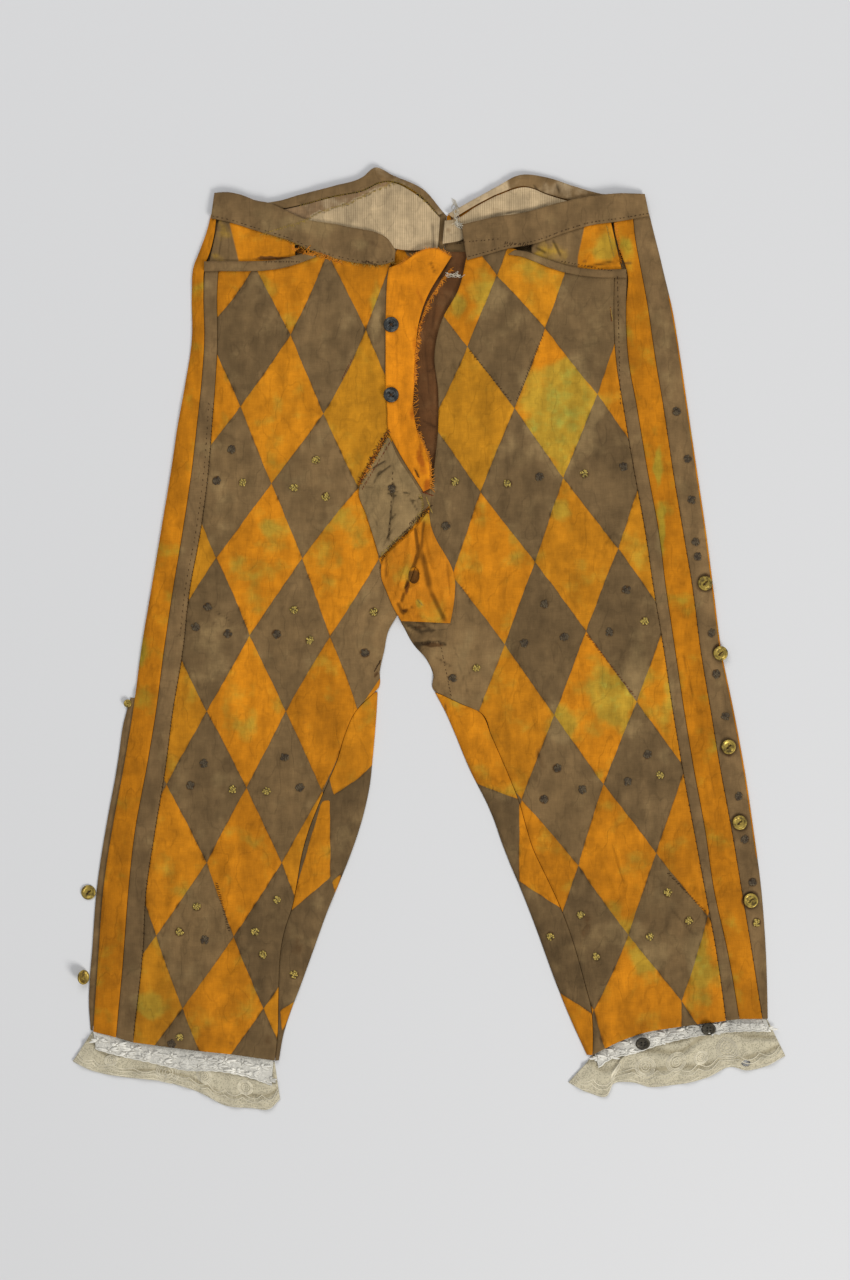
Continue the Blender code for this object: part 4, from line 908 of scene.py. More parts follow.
def finish_cloth(tree, shader, colour, faded, soil_and_shade, more_height=None):
    """Old cotton of the given colours into a shader."""
    worn = node(tree, "Group", {"Colour": colour, "Faded": faded, "Soil_and_shade": soil_and_shade}, node_tree=OLD_COTTON)
    height = worn.outputs["Height"]
    if more_height is not None:
        height = maths(tree, "ADD", height, more_height)
    bump = node(tree, "Bump", {"Height": height, "Distance": WEAVE_DEPTH, "Strength": 0.8})
    tree.links.new(worn.outputs["Colour"], shader.inputs["Base Color"])
    tree.links.new(bump.outputs[0], shader.inputs["Normal"])


def cotton(name, colour, faded, soil_and_shade=(70, 48, 28)):
    """A cotton of one colour."""
    made, tree, shader = cloth_shader(name)
    finish_cloth(tree, shader, paint(*colour), paint(*faded), paint(*soil_and_shade))
    return made


# %% Lozenge finish
ORANGE = (193, 120, 17)
BROWN = (119, 94, 60)
GOLDEN = (176, 138, 40)
GREENISH = (166, 154, 58)
LIGHT_BROWN = (132, 108, 71)


def make_lozenge_finish():
    """Brown and orange by the parity of the two counts, each lozenge a little different."""
    made, tree, shader = cloth_shader("pieced_cotton")
    place = node(tree, "TexCoord").outputs["Object"]
    wobble = maths(tree, "MULTIPLY", maths(tree, "SUBTRACT", noise(tree, place, 0.011, 2.0), 0.5), 0.022)
    counts = node(tree, "SeparateXYZ", {0: node(tree, "UVMap", uv_map="lozenge").outputs[0]})
    a = maths(tree, "ADD", counts.outputs[0], wobble)
    b = maths(tree, "ADD", counts.outputs[1], wobble)
    cell_a, cell_b = maths(tree, "FLOOR", a), maths(tree, "FLOOR", b)
    orange = maths(tree, "FLOORED_MODULO", maths(tree, "ADD", cell_a, cell_b), 2.0)
    cell = node(tree, "CombineXYZ", {0: cell_a, 1: cell_b}).outputs[0]
    chance = node(tree, "TexWhiteNoise", {"Vector": cell}, noise_dimensions="3D")
    second = node(tree, "TexWhiteNoise", {"Vector": chance.outputs["Color"]}, noise_dimensions="3D")
    warm = blend(tree, ramp(tree, chance.outputs["Value"], 0.45, 1.0), paint(*ORANGE), paint(187, 126, 24))
    cool = blend(tree, ramp(tree, chance.outputs["Value"], 0.0, 0.7), paint(*BROWN), paint(106, 84, 54))
    colour = blend(tree, orange, cool, warm)
    fading = node(tree, "Attribute", attribute_name="fading").outputs["Fac"]
    cloudy = maths(tree, "MULTIPLY", noise(tree, place, 0.009, 6.0), 2.2)
    strong = ramp(tree, maths(tree, "ADD", maths(tree, "MULTIPLY", fading, 0.6), cloudy), 1.55, 2.5)
    golden = blend(tree, strong, paint(*GOLDEN), paint(*GREENISH))
    faded = blend(tree, orange, paint(*LIGHT_BROWN), golden)
    level = ramp(tree, second.outputs["Value"], 0.0, 1.0, 0.9, 1.08)
    colour = node(tree, "VectorMath", {0: colour, "Scale": level}, operation="SCALE").outputs[0]
    near = maths(tree, "MINIMUM", maths(tree, "PINGPONG", a, 0.5), maths(tree, "PINGPONG", b, 0.5))
    seam = ramp(tree, maths(tree, "MULTIPLY", near, LOZENGE_ACROSS), 0.15, 0.9, 1.0, 0.0)
    seam = maths(tree, "MULTIPLY", seam, ramp(tree, noise(tree, place, 0.012, 2.0), 0.35, 0.65, 0.15, 0.8))
    colour = blend(tree, maths(tree, "MULTIPLY", seam, 0.55), colour, paint(84, 60, 34))
    finish_cloth(tree, shader, colour, faded, paint(78, 52, 26), maths(tree, "MULTIPLY", seam, -0.6))
    return made


LOZENGE = make_lozenge_finish()
# Third colours: what soil and painted shade darken each cotton towards; on the stand it is mostly painted
# shade along its right side
ORANGE_COTTON = cotton("orange_cotton", (181, 112, 14), (164, 134, 36))
STAND_COTTON = cotton("stand_cotton", (210, 128, 18), (198, 120, 20), (158, 80, 12))
GUSSET_COTTON = cotton("gusset_cotton", (190, 117, 20), GOLDEN, (92, 50, 18))
BROWN_COTTON = cotton("brown_cotton", (118, 93, 60), (134, 110, 72))
BAND_COTTON = cotton("band_cotton", (114, 90, 58), (178, 155, 120))
PATCH_COTTON = cotton("faded_brown_cotton", (134, 110, 73), (150, 125, 84))
DARK_TWILL = cotton("dark_brown_twill", (92, 59, 31), (118, 84, 50), (60, 38, 22))


# %% Lining, pocket facing, lace and metal
def make_lining():
    """Cream cotton with fine lengthwise stripes 2 mm apart."""
    made, tree, shader = cloth_shader("striped_cotton")
    place = node(tree, "TexCoord").outputs["Object"]
    wave = node(tree, "TexWave", {"Vector": place, "Scale": 157.0, "Distortion": 0.7, "Detail": 1.0},
                bands_direction="X").outputs["Fac"]
    colour = blend(tree, wave, paint(166, 143, 108), paint(187, 164, 128))
    finish_cloth(tree, shader, colour, paint(190, 166, 128), paint(120, 92, 62))
    return made


FACING_SEAMS = {"right": ((339, 373.5), (-170.6, -179.0)), "left": ((344, 370.8), (133.6, 139.5))}


def make_facing():
    """Pocket facings: brown cotton joined to orange."""
    made, tree, shader = cloth_shader("pocket_cotton")
    share = node(tree, "SeparateXYZ", {0: node(tree, "UVMap", uv_map="facing").outputs[0]}).outputs[0]
    colour = blend(tree, ramp(tree, share, -0.4, 0.4), paint(*BROWN), paint(*ORANGE))
    finish_cloth(tree, shader, colour, paint(*GOLDEN), paint(60, 40, 26))
    return made


def make_lace(name, thread, thin, hole, cover):
    """Net of small holes in rows, denser in soft clouds, where the pattern's motifs lie."""
    made, tree, shader = cloth_shader(name, 0.85, 0.2)
    place = node(tree, "TexCoord").outputs["Object"]
    net = node(tree, "TexVoronoi", {"Vector": place, "Scale": 1.0 / hole, "Randomness": 0.7})
    clouds = noise(tree, place, 0.007, 3.0)
    open_at = maths(tree, "SUBTRACT", net.outputs["Distance"], maths(tree, "MULTIPLY", clouds, cover))
    solid = ramp(tree, open_at, 0.02, 0.16)
    alpha = ramp(tree, solid, 0.0, 1.0, thin, 1.0)
    colour = blend(tree, noise(tree, place, 0.004, 4.0), paint(*[c * 0.86 for c in thread]), paint(*thread))
    # Painted shade: the thread is darkened beside the lace's folds, where the sheet's shade value says so
    folded = node(tree, "Attribute", attribute_name="painted_shade").outputs["Fac"]
    colour = blend(tree, folded, colour, paint(thread[0] * 0.62, thread[1] * 0.58, thread[2] * 0.48))
    bump = node(tree, "Bump", {"Height": solid, "Distance": 0.0002, "Strength": 0.8})
    tree.links.new(colour, shader.inputs["Base Color"])
    tree.links.new(alpha, shader.inputs["Alpha"])
    tree.links.new(bump.outputs[0], shader.inputs["Normal"])
    return made


def metal(name, colour, roughness, dull, metallic=0.85, size=0.003):
    """Worn metal: rough and dull where the noise is high."""
    made, tree, shader = cloth_shader(name, roughness, 0.5)
    place = node(tree, "TexCoord").outputs["Object"]
    wear = noise(tree, place, size, 5.0)
    tree.links.new(blend(tree, ramp(tree, wear, 0.35, 0.7), paint(*colour), paint(*dull)),
                   shader.inputs["Base Color"])
    tree.links.new(ramp(tree, wear, 0.3, 0.7, roughness, min(roughness + 0.25, 1.0)),
                   shader.inputs["Roughness"])
    shader.inputs["Metallic"].default_value = metallic
    return made


LINING_COTTON = make_lining()
FACING_COTTON = make_facing()
WHITE_LACE = make_lace("white_lace", (222, 218, 206), 0.84, 0.0016, 1.0)
CREAM_LACE = make_lace("cream_lace", (204, 194, 166), 0.7, 0.0014, 0.6)
BRASS = metal("worn_brass", (184, 158, 76), 0.4, (96, 80, 44))
BLACK_METAL = metal("blackened_metal", (84, 85, 82), 0.45, (48, 49, 48))
DARK_METAL = metal("dark_knee_metal", (64, 58, 44), 0.5, (40, 36, 30), 0.5)
print("finishes:", len(bpy.data.materials))

# %% [markdown]
# ## Where the cloth has aged, and where shade is painted
#
# The cloth is darker round the sewn-on metal, partly from stains and partly from painted shadow of the
# raised metal, so the places of the rosettes and the side buttons come first, as marked pixels of the photo
# and as millimetres. Light and wear have turned some places golden or greenish, mostly on the left leg, and
# a few carry stains. Other dark spots are painted shade: above the right pocket binding, along the fly
# stand and beside the gusset's folds. Each row there is a soft spot: its middle, its half width, its half
# height and its strength.

# %% Places of rosettes and side buttons
DARK_ROSETTES = (
    (564, 637), (582, 789), (191, 785), (217, 481), (232, 450), (392, 489), (208, 607), (285, 757),
    (205, 939), (172, 1043), (539, 477), (446, 526), (626, 590), (544, 604), (453, 678), (557, 768),
    (544, 799), (711, 633), (204, 763), (277, 634), (228, 634), (196, 627), (300, 787), (687, 459),
    (691, 500), (695, 542), (697, 557), (716, 674), (725, 716), (738, 796), (744, 839), (752, 882),
    (647, 754), (627, 781), (609, 632), (524, 643), (365, 653), (623, 467), (676, 412),
)
BRIGHT_ROSETTES = (
    (294, 610), (374, 612), (310, 640), (243, 483), (316, 460), (294, 488), (326, 497), (233, 789),
    (267, 791), (197, 906), (180, 931), (277, 899), (255, 931), (263, 954), (294, 974), (180, 1036),
    (455, 482), (507, 484), (584, 474), (644, 621), (476, 668), (660, 775), (580, 914), (667, 892),
    (688, 920), (649, 936), (550, 936), (596, 956), (756, 922),
)
# Centres in millimetres
LEFT_SIDE_BUTTONS = ((248, 51), (262, -12), (269, -96), (279, -164), (289, -234))
ROSETTE_REACH = 5.8
BUTTON_REACH = 12.0
METAL_HALO_SLOPE = 2.0
METAL_HALO_SHADE = 0.62


def stain_and_shadow_round_metal(grid):
    """How dark the cloth is round sewn-on metal, partly stain and partly painted shadow of the raised
    metal: 1 at each place, fading out at its reach.
    """
    away = np.full(grid.shape[:2], 1.0)
    for places, reach in ((on_cloth(BRIGHT_ROSETTES + DARK_ROSETTES), ROSETTE_REACH),
                          (LEFT_SIDE_BUTTONS, BUTTON_REACH)):
        for place in places:
            away = np.minimum(away, np.linalg.norm(grid - place, axis=-1) / reach)
    return soft_step(METAL_HALO_SLOPE * (1.0 - away))


# %% Faded spots, soiled spots and painted shade
FADED_SPOTS = (
    (548, 400, 62, 64, 1.5), (566, 372, 22, 24, 1.2), (536, 425, 20, 22, 1.3), (600, 692, 50, 62, 1.1),
    (560, 722, 24, 20, 1.0), (650, 960, 30, 34, 0.9), (700, 965, 26, 44, 1.2), (657, 470, 5, 32, 1.0),
    (661, 530, 6, 34, 1.0), (480, 300, 34, 28, 0.8), (458, 305, 12, 18, 1.1), (266, 528, 15, 13, 0.8),
    (262, 560, 40, 60, 0.55), (155, 1005, 22, 18, 1.1), (667, 700, 9, 60, 0.6), (520, 560, 34, 44, 0.5),
    (557, 512, 14, 16, 0.7), (606, 250, 16, 18, 0.9), (628, 245, 14, 18, 0.7), (220, 640, 30, 50, 0.5),
    (150, 560, 10, 60, 0.8), (140, 640, 10, 60, 0.7), (235, 720, 40, 40, 0.5), (340, 520, 34, 40, 0.4),
    (310, 228, 60, 20, 0.8), (360, 246, 26, 10, 0.6), (620, 930, 26, 24, 0.7), (520, 270, 26, 22, 0.8),
    (376, 318, 9, 46, 1.0), (600, 775, 22, 20, 0.5), (419, 603, 5, 5, 0.9),
)
# Some rows are painted shade, not soil: the shadow just above the right pocket binding, the shade along the
# fly stand's right side and the shade beside the gusset's folds
SOIL_AND_SHADE_SPOTS = (
    (393, 489, 8, 6, 1.6), (216, 262, 7, 8, 0.6), (232, 256, 7, 6, 0.5), (274, 259, 36, 3.0, 1.4),
    (625, 264, 14, 3, 0.8), (583, 262, 5, 5, 0.9), (372, 243, 12, 10, 0.9), (446, 232, 10, 8, 0.8),
    (430, 244, 12, 8, 0.8), (500, 211, 34, 4, 0.5), (208, 1028, 8, 6, 1.0), (232, 1042, 8, 6, 1.2),
    (420, 300, 7, 26, 0.9), (415, 345, 6, 50, 0.9), (412, 405, 6, 40, 0.9), (422, 455, 7, 34, 1.0),
    (428, 486, 6, 12, 1.4), (270, 1040, 14, 10, 0.8), (585, 925, 10, 26, 0.9), (600, 1030, 8, 14, 0.8),
    (330, 850, 8, 30, 0.4), (260, 610, 10, 12, 0.5), (300, 945, 14, 20, 0.6), (235, 935, 12, 14, 0.6),
    (560, 640, 16, 16, 0.5), (432, 645, 16, 3.6, 1.7), (418, 627, 9, 4, 1.2), (376, 675, 3.4, 7, 1.5),
    (446, 705, 4, 14, 0.9), (407, 588, 3.6, 13, 1.5), (404, 611, 9, 3, 1.3), (419, 552, 2.2, 14, 0.8),
    (412, 572, 5, 9, 1.5), (540, 760, 12, 18, 0.7), (585, 790, 10, 20, 0.7), (610, 830, 14, 18, 0.5),
    (445, 275, 8, 14, 0.6),
)

# %% [markdown]
# ## The pieces of the legs
#
# The heights of the seams pair the inner edge of a panel with its outer edge, so that the grid's rows
# lie across the leg like the weft. The coarse grid has the solid's own corners; `finer` then puts
# smooth cells between them.

# %% Edges of the front panels
INSEAM_STATIONS = 16
CROTCH_STATIONS = 5
SEAM_STATIONS = 5
HEM_STATIONS = 4
FLY_STATIONS = 7
PANEL_CELLS = 9
STRIP_CELLS = 2
HALF_SEAM = SEAM_GAP / 2.0
INSEAM_LEAST = {"right": 1.5, "left": 2.5}
STRIP_LEAST = 3.0
INSEAM_SLANT = 0.35
RIGHT_TAPE_FOOT = -361.5
LEFT_TAPE_FOOT = -342.0
LEFT_STRIP_FOOT = -340.5
RIGHT_STRIPE_ROWS = (350.0, 366.0, 383.0)
LEFT_STRIPE_ROWS = (346.0, 361.0, 384.0)
STRIP_TUCK = 9.0
STRIP_HEM_RISE = 1.2
STRIP_STATIONS = 13
STRIPE_LIFT = {"above": 16.0, "fade": 14.0}


def right_inner_edge():
    """Inner edge of the right front, hem first, and the station where the inseam piece starts."""
    seam = smooth(RIGHT_INSEAM[::-1], INSEAM_STATIONS)
    crotch = smooth(RIGHT_CROTCH[::-1], CROTCH_STATIONS)
    centre = smooth(CENTRE_SEAM[::-1][:5], SEAM_STATIONS)
    return np.concatenate((seam, crotch, centre[1:], np.array(RIGHT_FLY_EDGE, float))), len(seam)


def left_inner_edge():
    """Inner edge of the left front, hem first, and the station where the inseam piece starts."""
    seam = np.concatenate((smooth(LEFT_INSEAM[::-1], INSEAM_STATIONS), np.array(LEFT_LOZENGE_EDGE)))
    crotch = smooth(LEFT_CROTCH[::-1], CROTCH_STATIONS + 1)
    centre = smooth(CENTRE_SEAM[::-1][:5], SEAM_STATIONS)
    return np.concatenate((seam, crotch, centre[1:], smooth(LEFT_FLY_EDGE, FLY_STATIONS))), len(seam)


# %% Grids of the right leg
def right_leg():
    """Coarse grids of the right leg's front pieces."""
    inner, split = right_inner_edge()
    y = leg_stations(inner, RIGHT_TAPE_FOOT, RIGHT_FRONT_TOP[0][1])
    hem_drop = np.linspace(1.0, 0.0, HEM_STATIONS)
    tape_in = stack(column(RIGHT_SECTIONS, "tape_inner", y), y)
    left, right = inset(tape_in, (1, 0), HALF_SEAM), inset(inner, (-1, 0), HALF_SEAM)
    width = right[:, 0] - left[:, 0]
    across = 1.0 - from_edge(width, EDGE_ROLL, PANEL_CELLS)[:, ::-1]
    hem = end_curve((tuple(left[0]), *RIGHT_HEM[3:5], tuple(right[0])), left[0][0] + across[0] * width[0])
    top = end_curve(RIGHT_FRONT_TOP, left[-1][0] + across[-1] * width[-1])
    front = patch_grid(left, right, hem, top, across)

    tape_out = stack(column(RIGHT_SECTIONS, "stripe_inner", y), y)
    tape_out[:HEM_STATIONS, 1] += (RIGHT_HEM[1][1] - y[0]) * hem_drop
    tape = strip_grid(inset(tape_out, (1, 0), HALF_SEAM), inset(tape_in, (-1, 0), HALF_SEAM), (0.0, 1.0))

    stripe_y = np.concatenate((y, RIGHT_STRIPE_ROWS))
    stripe_in = stack(column(RIGHT_SECTIONS, "stripe_inner", stripe_y), stripe_y)
    stripe_in[:HEM_STATIONS, 1] = tape_out[:HEM_STATIONS, 1]
    outer = stack(column(RIGHT_SECTIONS, "outer", stripe_y), stripe_y)
    outer[:HEM_STATIONS, 1] += (RIGHT_HEM[0][1] - stripe_y[0]) * hem_drop
    edge = inset(stripe_in, (-1, 0), HALF_SEAM)
    stripe = strip_grid(outer, edge, from_edge(edge[:, 0] - outer[:, 0], EDGE_ROLL, STRIP_CELLS))

    strip_y = np.linspace(RIGHT_HEM[0][1] + STRIP_HEM_RISE, BUTTON_STRIP_EDGE["y"][0], STRIP_STATIONS)
    strip = strip_grid(stack(column(BUTTON_STRIP_EDGE, "x", strip_y), strip_y),
                       stack(column(RIGHT_SECTIONS, "outer", strip_y) + STRIP_TUCK, strip_y), (0.0, 1.0))

    seam = inset(inner[:split], (1, 0), HALF_SEAM)
    fold_y = np.linspace(RIGHT_INNER_FOLD[-1][1], RIGHT_INNER_FOLD[0][1] - 3.0, split)
    fold_y = seam[:, 1] * (1.0 - INSEAM_SLANT) + fold_y * INSEAM_SLANT
    fold = stack(column(RIGHT_FOLD_TABLE, "x", fold_y), fold_y)
    width = np.maximum(fold[:, 0] - seam[:, 0], INSEAM_LEAST["right"])
    fold[:, 0] = seam[:, 0] + width
    inseam = strip_grid(seam, fold, 1.0 - from_edge(width, EDGE_ROLL, STRIP_CELLS)[:, ::-1])
    return {"front": front, "tape": tape, "stripe": stripe, "strip": strip, "inseam": inseam}


# %% Grids of the left leg
def left_leg():
    """Coarse grids of the left leg's front pieces."""
    inner, split = left_inner_edge()
    y = leg_stations(inner, LEFT_TAPE_FOOT, LEFT_FRONT_TOP[-1][1])
    hem_drop = np.linspace(1.0, 0.0, HEM_STATIONS)
    tape_in = stack(column(LEFT_SECTIONS, "tape_inner", y), y)
    left, right = inset(inner, (1, 0), HALF_SEAM), inset(tape_in, (-1, 0), HALF_SEAM)
    width = right[:, 0] - left[:, 0]
    across = from_edge(width, EDGE_ROLL, PANEL_CELLS)
    hem = end_curve((tuple(left[0]), *LEFT_HEM[1:4], tuple(right[0])), left[0][0] + across[0] * width[0])
    top = end_curve(LEFT_FRONT_TOP, left[-1][0] + across[-1] * width[-1])
    front = patch_grid(left, right, hem, top, across)

    tape_out = stack(column(LEFT_SECTIONS, "tape_outer", y), y)
    tape_out[:HEM_STATIONS, 1] += (LEFT_STRIP_FOOT - y[0]) * hem_drop
    tape = strip_grid(inset(tape_in, (1, 0), HALF_SEAM), inset(tape_out, (-1, 0), HALF_SEAM), (0.0, 1.0))

    stripe_y = np.concatenate((y, LEFT_STRIPE_ROWS))
    stripe_in = stack(column(LEFT_SECTIONS, "tape_outer", stripe_y), stripe_y)
    stripe_out = stack(column(LEFT_SECTIONS, "stripe_outer", stripe_y), stripe_y)
    outer = stack(column(LEFT_SECTIONS, "outer", stripe_y), stripe_y)
    for edge in (stripe_in, stripe_out, outer):
        edge[:HEM_STATIONS, 1] = tape_out[:HEM_STATIONS, 1]
    stripe = strip_grid(inset(stripe_in, (1, 0), HALF_SEAM), inset(stripe_out, (-1, 0), HALF_SEAM),
                        (0.0, 0.5, 1.0))

    edge = inset(stripe_out, (1, 0), HALF_SEAM)
    width = np.maximum(outer[:, 0] - edge[:, 0], STRIP_LEAST)
    outer[:, 0] = edge[:, 0] + width
    strip = strip_grid(edge, outer, 1.0 - from_edge(width, EDGE_ROLL, STRIP_CELLS)[:, ::-1])

    seam = inset(inner[:split], (-1, 0), HALF_SEAM)
    fold_y = np.linspace(LEFT_INNER_FOLD[-1][1], LEFT_INNER_FOLD[0][1] - 1.0, split)
    fold = stack(column(LEFT_FOLD_TABLE, "x", fold_y), fold_y)
    width = np.maximum(seam[:, 0] - fold[:, 0], INSEAM_LEAST["left"])
    fold[:, 0] = seam[:, 0] - width
    inseam = strip_grid(fold, seam, from_edge(width, EDGE_ROLL, STRIP_CELLS))
    return {"front": front, "tape": tape, "stripe": stripe, "strip": strip, "inseam": inseam}


# %% Orange pieces on the inner side of the knees
RIGHT_INSEAM_ORANGE = (
    ((-45, -44), (-68, -56), (-92, -112), (-86, -139.5), (-62, -123.5), (-48.5, -110)),
    ((-96, -144), (-89, -144), (-88.5, -213), (-126, -245)),
    ((-87, -217), (-77.5, -209), (-84.5, -228.5)),
    ((-134, -333), (-120.5, -325), (-132, -353)),
)
LEFT_INSEAM_ORANGE = (
    ((-4, -13), (37, -13), (91, -143), (80, -143), (45, -130), (23, -110), (1, -54)),
    ((81, -141), (84, -141), (120, -242), (81, -217)),
    ((114, -315), (119, -318), (149, -337), (149, -378), (134, -378)),
)


def convex_counts(x, y, shapes):
    """Counts for a brown piece with orange corners: a goes past 1 inside any of the convex shapes."""
    inside = np.full_like(x, -np.inf)
    for shape in shapes:
        p = np.array(shape, float)
        q = np.roll(p, -1, axis=0)
        turn = np.sign(np.sum(p[:, 0] * q[:, 1] - q[:, 0] * p[:, 1]))
        along = (q - p) / np.linalg.norm(q - p, axis=1)[:, None]
        away = [turn * (s[0] * (y - c[1]) - s[1] * (x - c[0])) for c, s in zip(p, along)]
        inside = np.maximum(inside, np.min(away, axis=0))
    return stack(1.0 + inside / LOZENGE_ACROSS, np.full_like(x, 0.5))


# %% Sheets of both legs
FINE = 2.0
LEG_PARTS = {
    "front": ("front", LOZENGE, "brown_orange_lozenges"),
    "tape": ("side_tape", BROWN_COTTON, "brown_cotton"),
    "stripe": ("side_stripe", ORANGE_COTTON, "orange_cotton"),
    "strip": ("button_strip", BROWN_COTTON, "brown_cotton"),
    "inseam": ("inseam", LOZENGE, "brown_orange_lozenges"),
}
# Sharp creases pressed into the panels' own tops, with painted shade in their troughs: rows as for
# `creases`
FRONT_LINES = (
    (413, 645, 426, 643, 1.5, -1.2), (425, 643, 435, 640, 1.5, -1.1), (434, 640, 447, 645, 1.5, -1.2),
    (416, 639, 445, 636, 2.4, 1.0), (404, 624, 421, 631, 1.2, -0.9), (421, 631, 448, 629, 1.2, -0.8),
    (434, 656, 452, 667, 1.3, -0.8), (452, 640, 470, 700, 1.4, -0.6), (462, 655, 476, 690, 1.2, -0.6),
    (214, 610, 242, 628, 0.9, -0.8), (210, 666, 231, 667, 0.9, -0.6), (321, 660, 320, 700, 2.6, -0.35),
    (295, 656, 293, 674, 2.2, -0.35), (681, 650, 697, 712, 1.3, -0.7), (690, 600, 684, 640, 1.2, -0.5),
    (703, 740, 722, 830, 1.6, -0.5), (700, 880, 712, 960, 2.0, -0.5), (611, 842, 624, 886, 1.2, -0.6),
    (583, 838, 604, 900, 1.4, -0.4), (668, 905, 692, 934, 1.2, -0.6), (560, 925, 572, 1000, 2.0, -0.4),
    (300, 300, 318, 330, 1.4, -0.4), (270, 330, 262, 372, 1.6, -0.35), (348, 330, 340, 372, 1.6, -0.35),
    (458, 470, 449, 530, 1.8, -0.4), (462, 562, 471, 612, 1.3, -0.6), (500, 660, 512, 730, 1.6, -0.4),
    (530, 700, 541, 770, 1.4, -0.5), (225, 842, 246, 800, 1.6, -0.35), (178, 960, 196, 900, 1.8, -0.35),
)
# Below the fork the left panel is brown up to its edge: a place in that lozenge, and the box it fills
FORK_BROWN = (np.array(46.0), np.array(0.0))
FORK_BOX = {"right": 45.0, "top": 22.0, "foot": -75.0}
WITHIN_COUNT = (0.01, 0.99)
COUNT_SHIFT = {"right": (0, 0), "left": (20, 0), "back": (41, 0)}
# Painted shade on the fronts where they show through the gusset's worn hole
SHADE_UNDER_HOLE = ((413, 577, 13, 15, 2.4),)


def front_height(grid):
    """Underside of a front piece, with the cloth's own unevenness."""
    x, y = grid[..., 0], grid[..., 1]
    return front_floor(x, y) + relief(x, y)


def make_leg(side, grids, rows, orange_shapes):
    """The five front pieces of one leg, on its back panel."""
    for part, coarse in grids.items():
        grid = finer(coarse, FINE)
        x, y = grid[..., 0], grid[..., 1]
        low = front_height(grid)
        maps, extra, on = None, creases(x, y, FRONT_LINES), [f"back_{side}"]
        if (side, part) == ("right", "strip"):
            low, on = 0.0 * x, ["floor"]
        if (side, part) == ("right", "stripe"):
            lift_top = BUTTON_STRIP_EDGE["y"][0] + STRIPE_LIFT["above"]
            low = np.maximum(low, FRONT_REST * soft_step((lift_top - y) / STRIPE_LIFT["fade"]))
        if part in ("front", "inseam"):
            counts = lozenge_counts(x, y, rows) if part == "front" else convex_counts(x, y, orange_shapes)
            if (side, part) == ("left", "front"):
                fork = (x < FORK_BOX["right"]) & (y < FORK_BOX["top"]) & (y > FORK_BOX["foot"])
                home = np.floor(lozenge_counts(*FORK_BROWN, rows))
                brown = np.clip(counts, home + WITHIN_COUNT[0], home + WITHIN_COUNT[1])
                counts = np.where(fork[..., None], brown, counts)
            extra = extra + seam_pucker(counts, x, y)
            maps = {"lozenge": counts + COUNT_SHIFT[side]}
        name, finish, slot = LEG_PARTS[part]
        sewn_sheet(f"{name}_{side}", grid, low, CLOTH_WALL, finish, slot, on, maps, extra,
                   darkened=SHADE_UNDER_HOLE if part == "front" else ())


make_leg("right", right_leg(), RIGHT_LOZENGES, RIGHT_INSEAM_ORANGE)
make_leg("left", left_leg(), LEFT_LOZENGES, LEFT_INSEAM_ORANGE)
print("triangles so far:", triangle_count)

# %% [markdown]
# ## Backs
#
# The two backs lie flat on the surface and show only above the waist, but they go all the way down.

# %% Grids of the backs
BACK_INSET = 4.0
BACK_APEX = (1.5, 3.9)
BACK_HEM_RISE = 1.2
BACK_LEG_ROWS = 9
BACK_SEAM_ROWS = 9
BACK_HIGH_ROWS = (105, 165, 220, 261, 297, 335, 358, 378, 398)
BACK_LEG_TOP = 60.0
STRIP_ROOM = {"inset": 10.5, "top": 20.0, "fade": 30.0}


def back_grid(side, outer_table, crotch, fold, top, hem):
    """One back panel from its outer edge to the centre back seam; side is -1 right, 1 left."""
    leg = np.concatenate((smooth(fold[::-1], BACK_LEG_ROWS)[:-1], smooth(crotch[::-1], CROTCH_STATIONS)))
    leg = inset(leg, (side, 0), BACK_INSET)
    seam = smooth(CENTRE_SEAM, BACK_SEAM_ROWS)[::-1]
    seam[0] += BACK_APEX
    inner = np.concatenate((leg[:-1], inset(seam, (side, 0), HALF_SEAM)))
    top, hem = np.array(top, float), np.array(hem, float)
    low = np.linspace(hem[0, 1], BACK_LEG_TOP, len(leg) - 1)
    heights = np.concatenate((low, np.array(BACK_HIGH_ROWS, float)))
    outer = stack(column(outer_table, "outer", heights) - side * BACK_INSET, heights)
    if side < 0:
        beside_strip = soft_step((STRIP_ROOM["top"] - heights) / STRIP_ROOM["fade"])
        outer[:, 0] += (STRIP_ROOM["inset"] - BACK_INSET) * beside_strip
    outer[-1] = top[0]
    inner[-1] = top[-1] + (side * HALF_SEAM, -0.5)
    across = (top[:, 0] - outer[-1, 0]) / (inner[-1, 0] - outer[-1, 0])
    across[-1] = 1.0
    top[-1] = inner[-1]
    low_x = outer[0, 0] + across * (inner[0, 0] - outer[0, 0])
    order = np.argsort(hem[:, 0])
    low_y = np.interp(low_x, hem[order, 0], hem[order, 1]) + BACK_HEM_RISE
    outer[0, 1], inner[0, 1] = low_y[0], low_y[-1]
    return patch_grid(outer, inner, stack(low_x, low_y), top, across)


# %% Sheets of the backs
BACK_SPACING = 5.0

for side, args, rows in (
    ("right", (-1, RIGHT_SECTIONS, RIGHT_CROTCH, RIGHT_INNER_FOLD, RIGHT_BACK_TOP, RIGHT_HEM),
     RIGHT_LOZENGES),
    ("left", (1, LEFT_SECTIONS, LEFT_CROTCH, LEFT_INNER_FOLD, LEFT_BACK_TOP[::-1], LEFT_HEM[::-1]),
     LEFT_LOZENGES),
):
    grid = finer(back_grid(*args), BACK_SPACING)
    counts = lozenge_counts(grid[..., 0], grid[..., 1], rows) + COUNT_SHIFT["back"]
    sewn_sheet(f"back_{side}", grid, 0.0 * grid[..., 0], CLOTH_WALL, LOZENGE, "brown_orange_lozenges",
               ["floor"], {"lozenge": counts})

# %% [markdown]
# ## Waist
#
# Inside the back lies a striped lining under a brown facing, with a soft fold where it is creased. The
# front waistbands cover the tops of the panels.

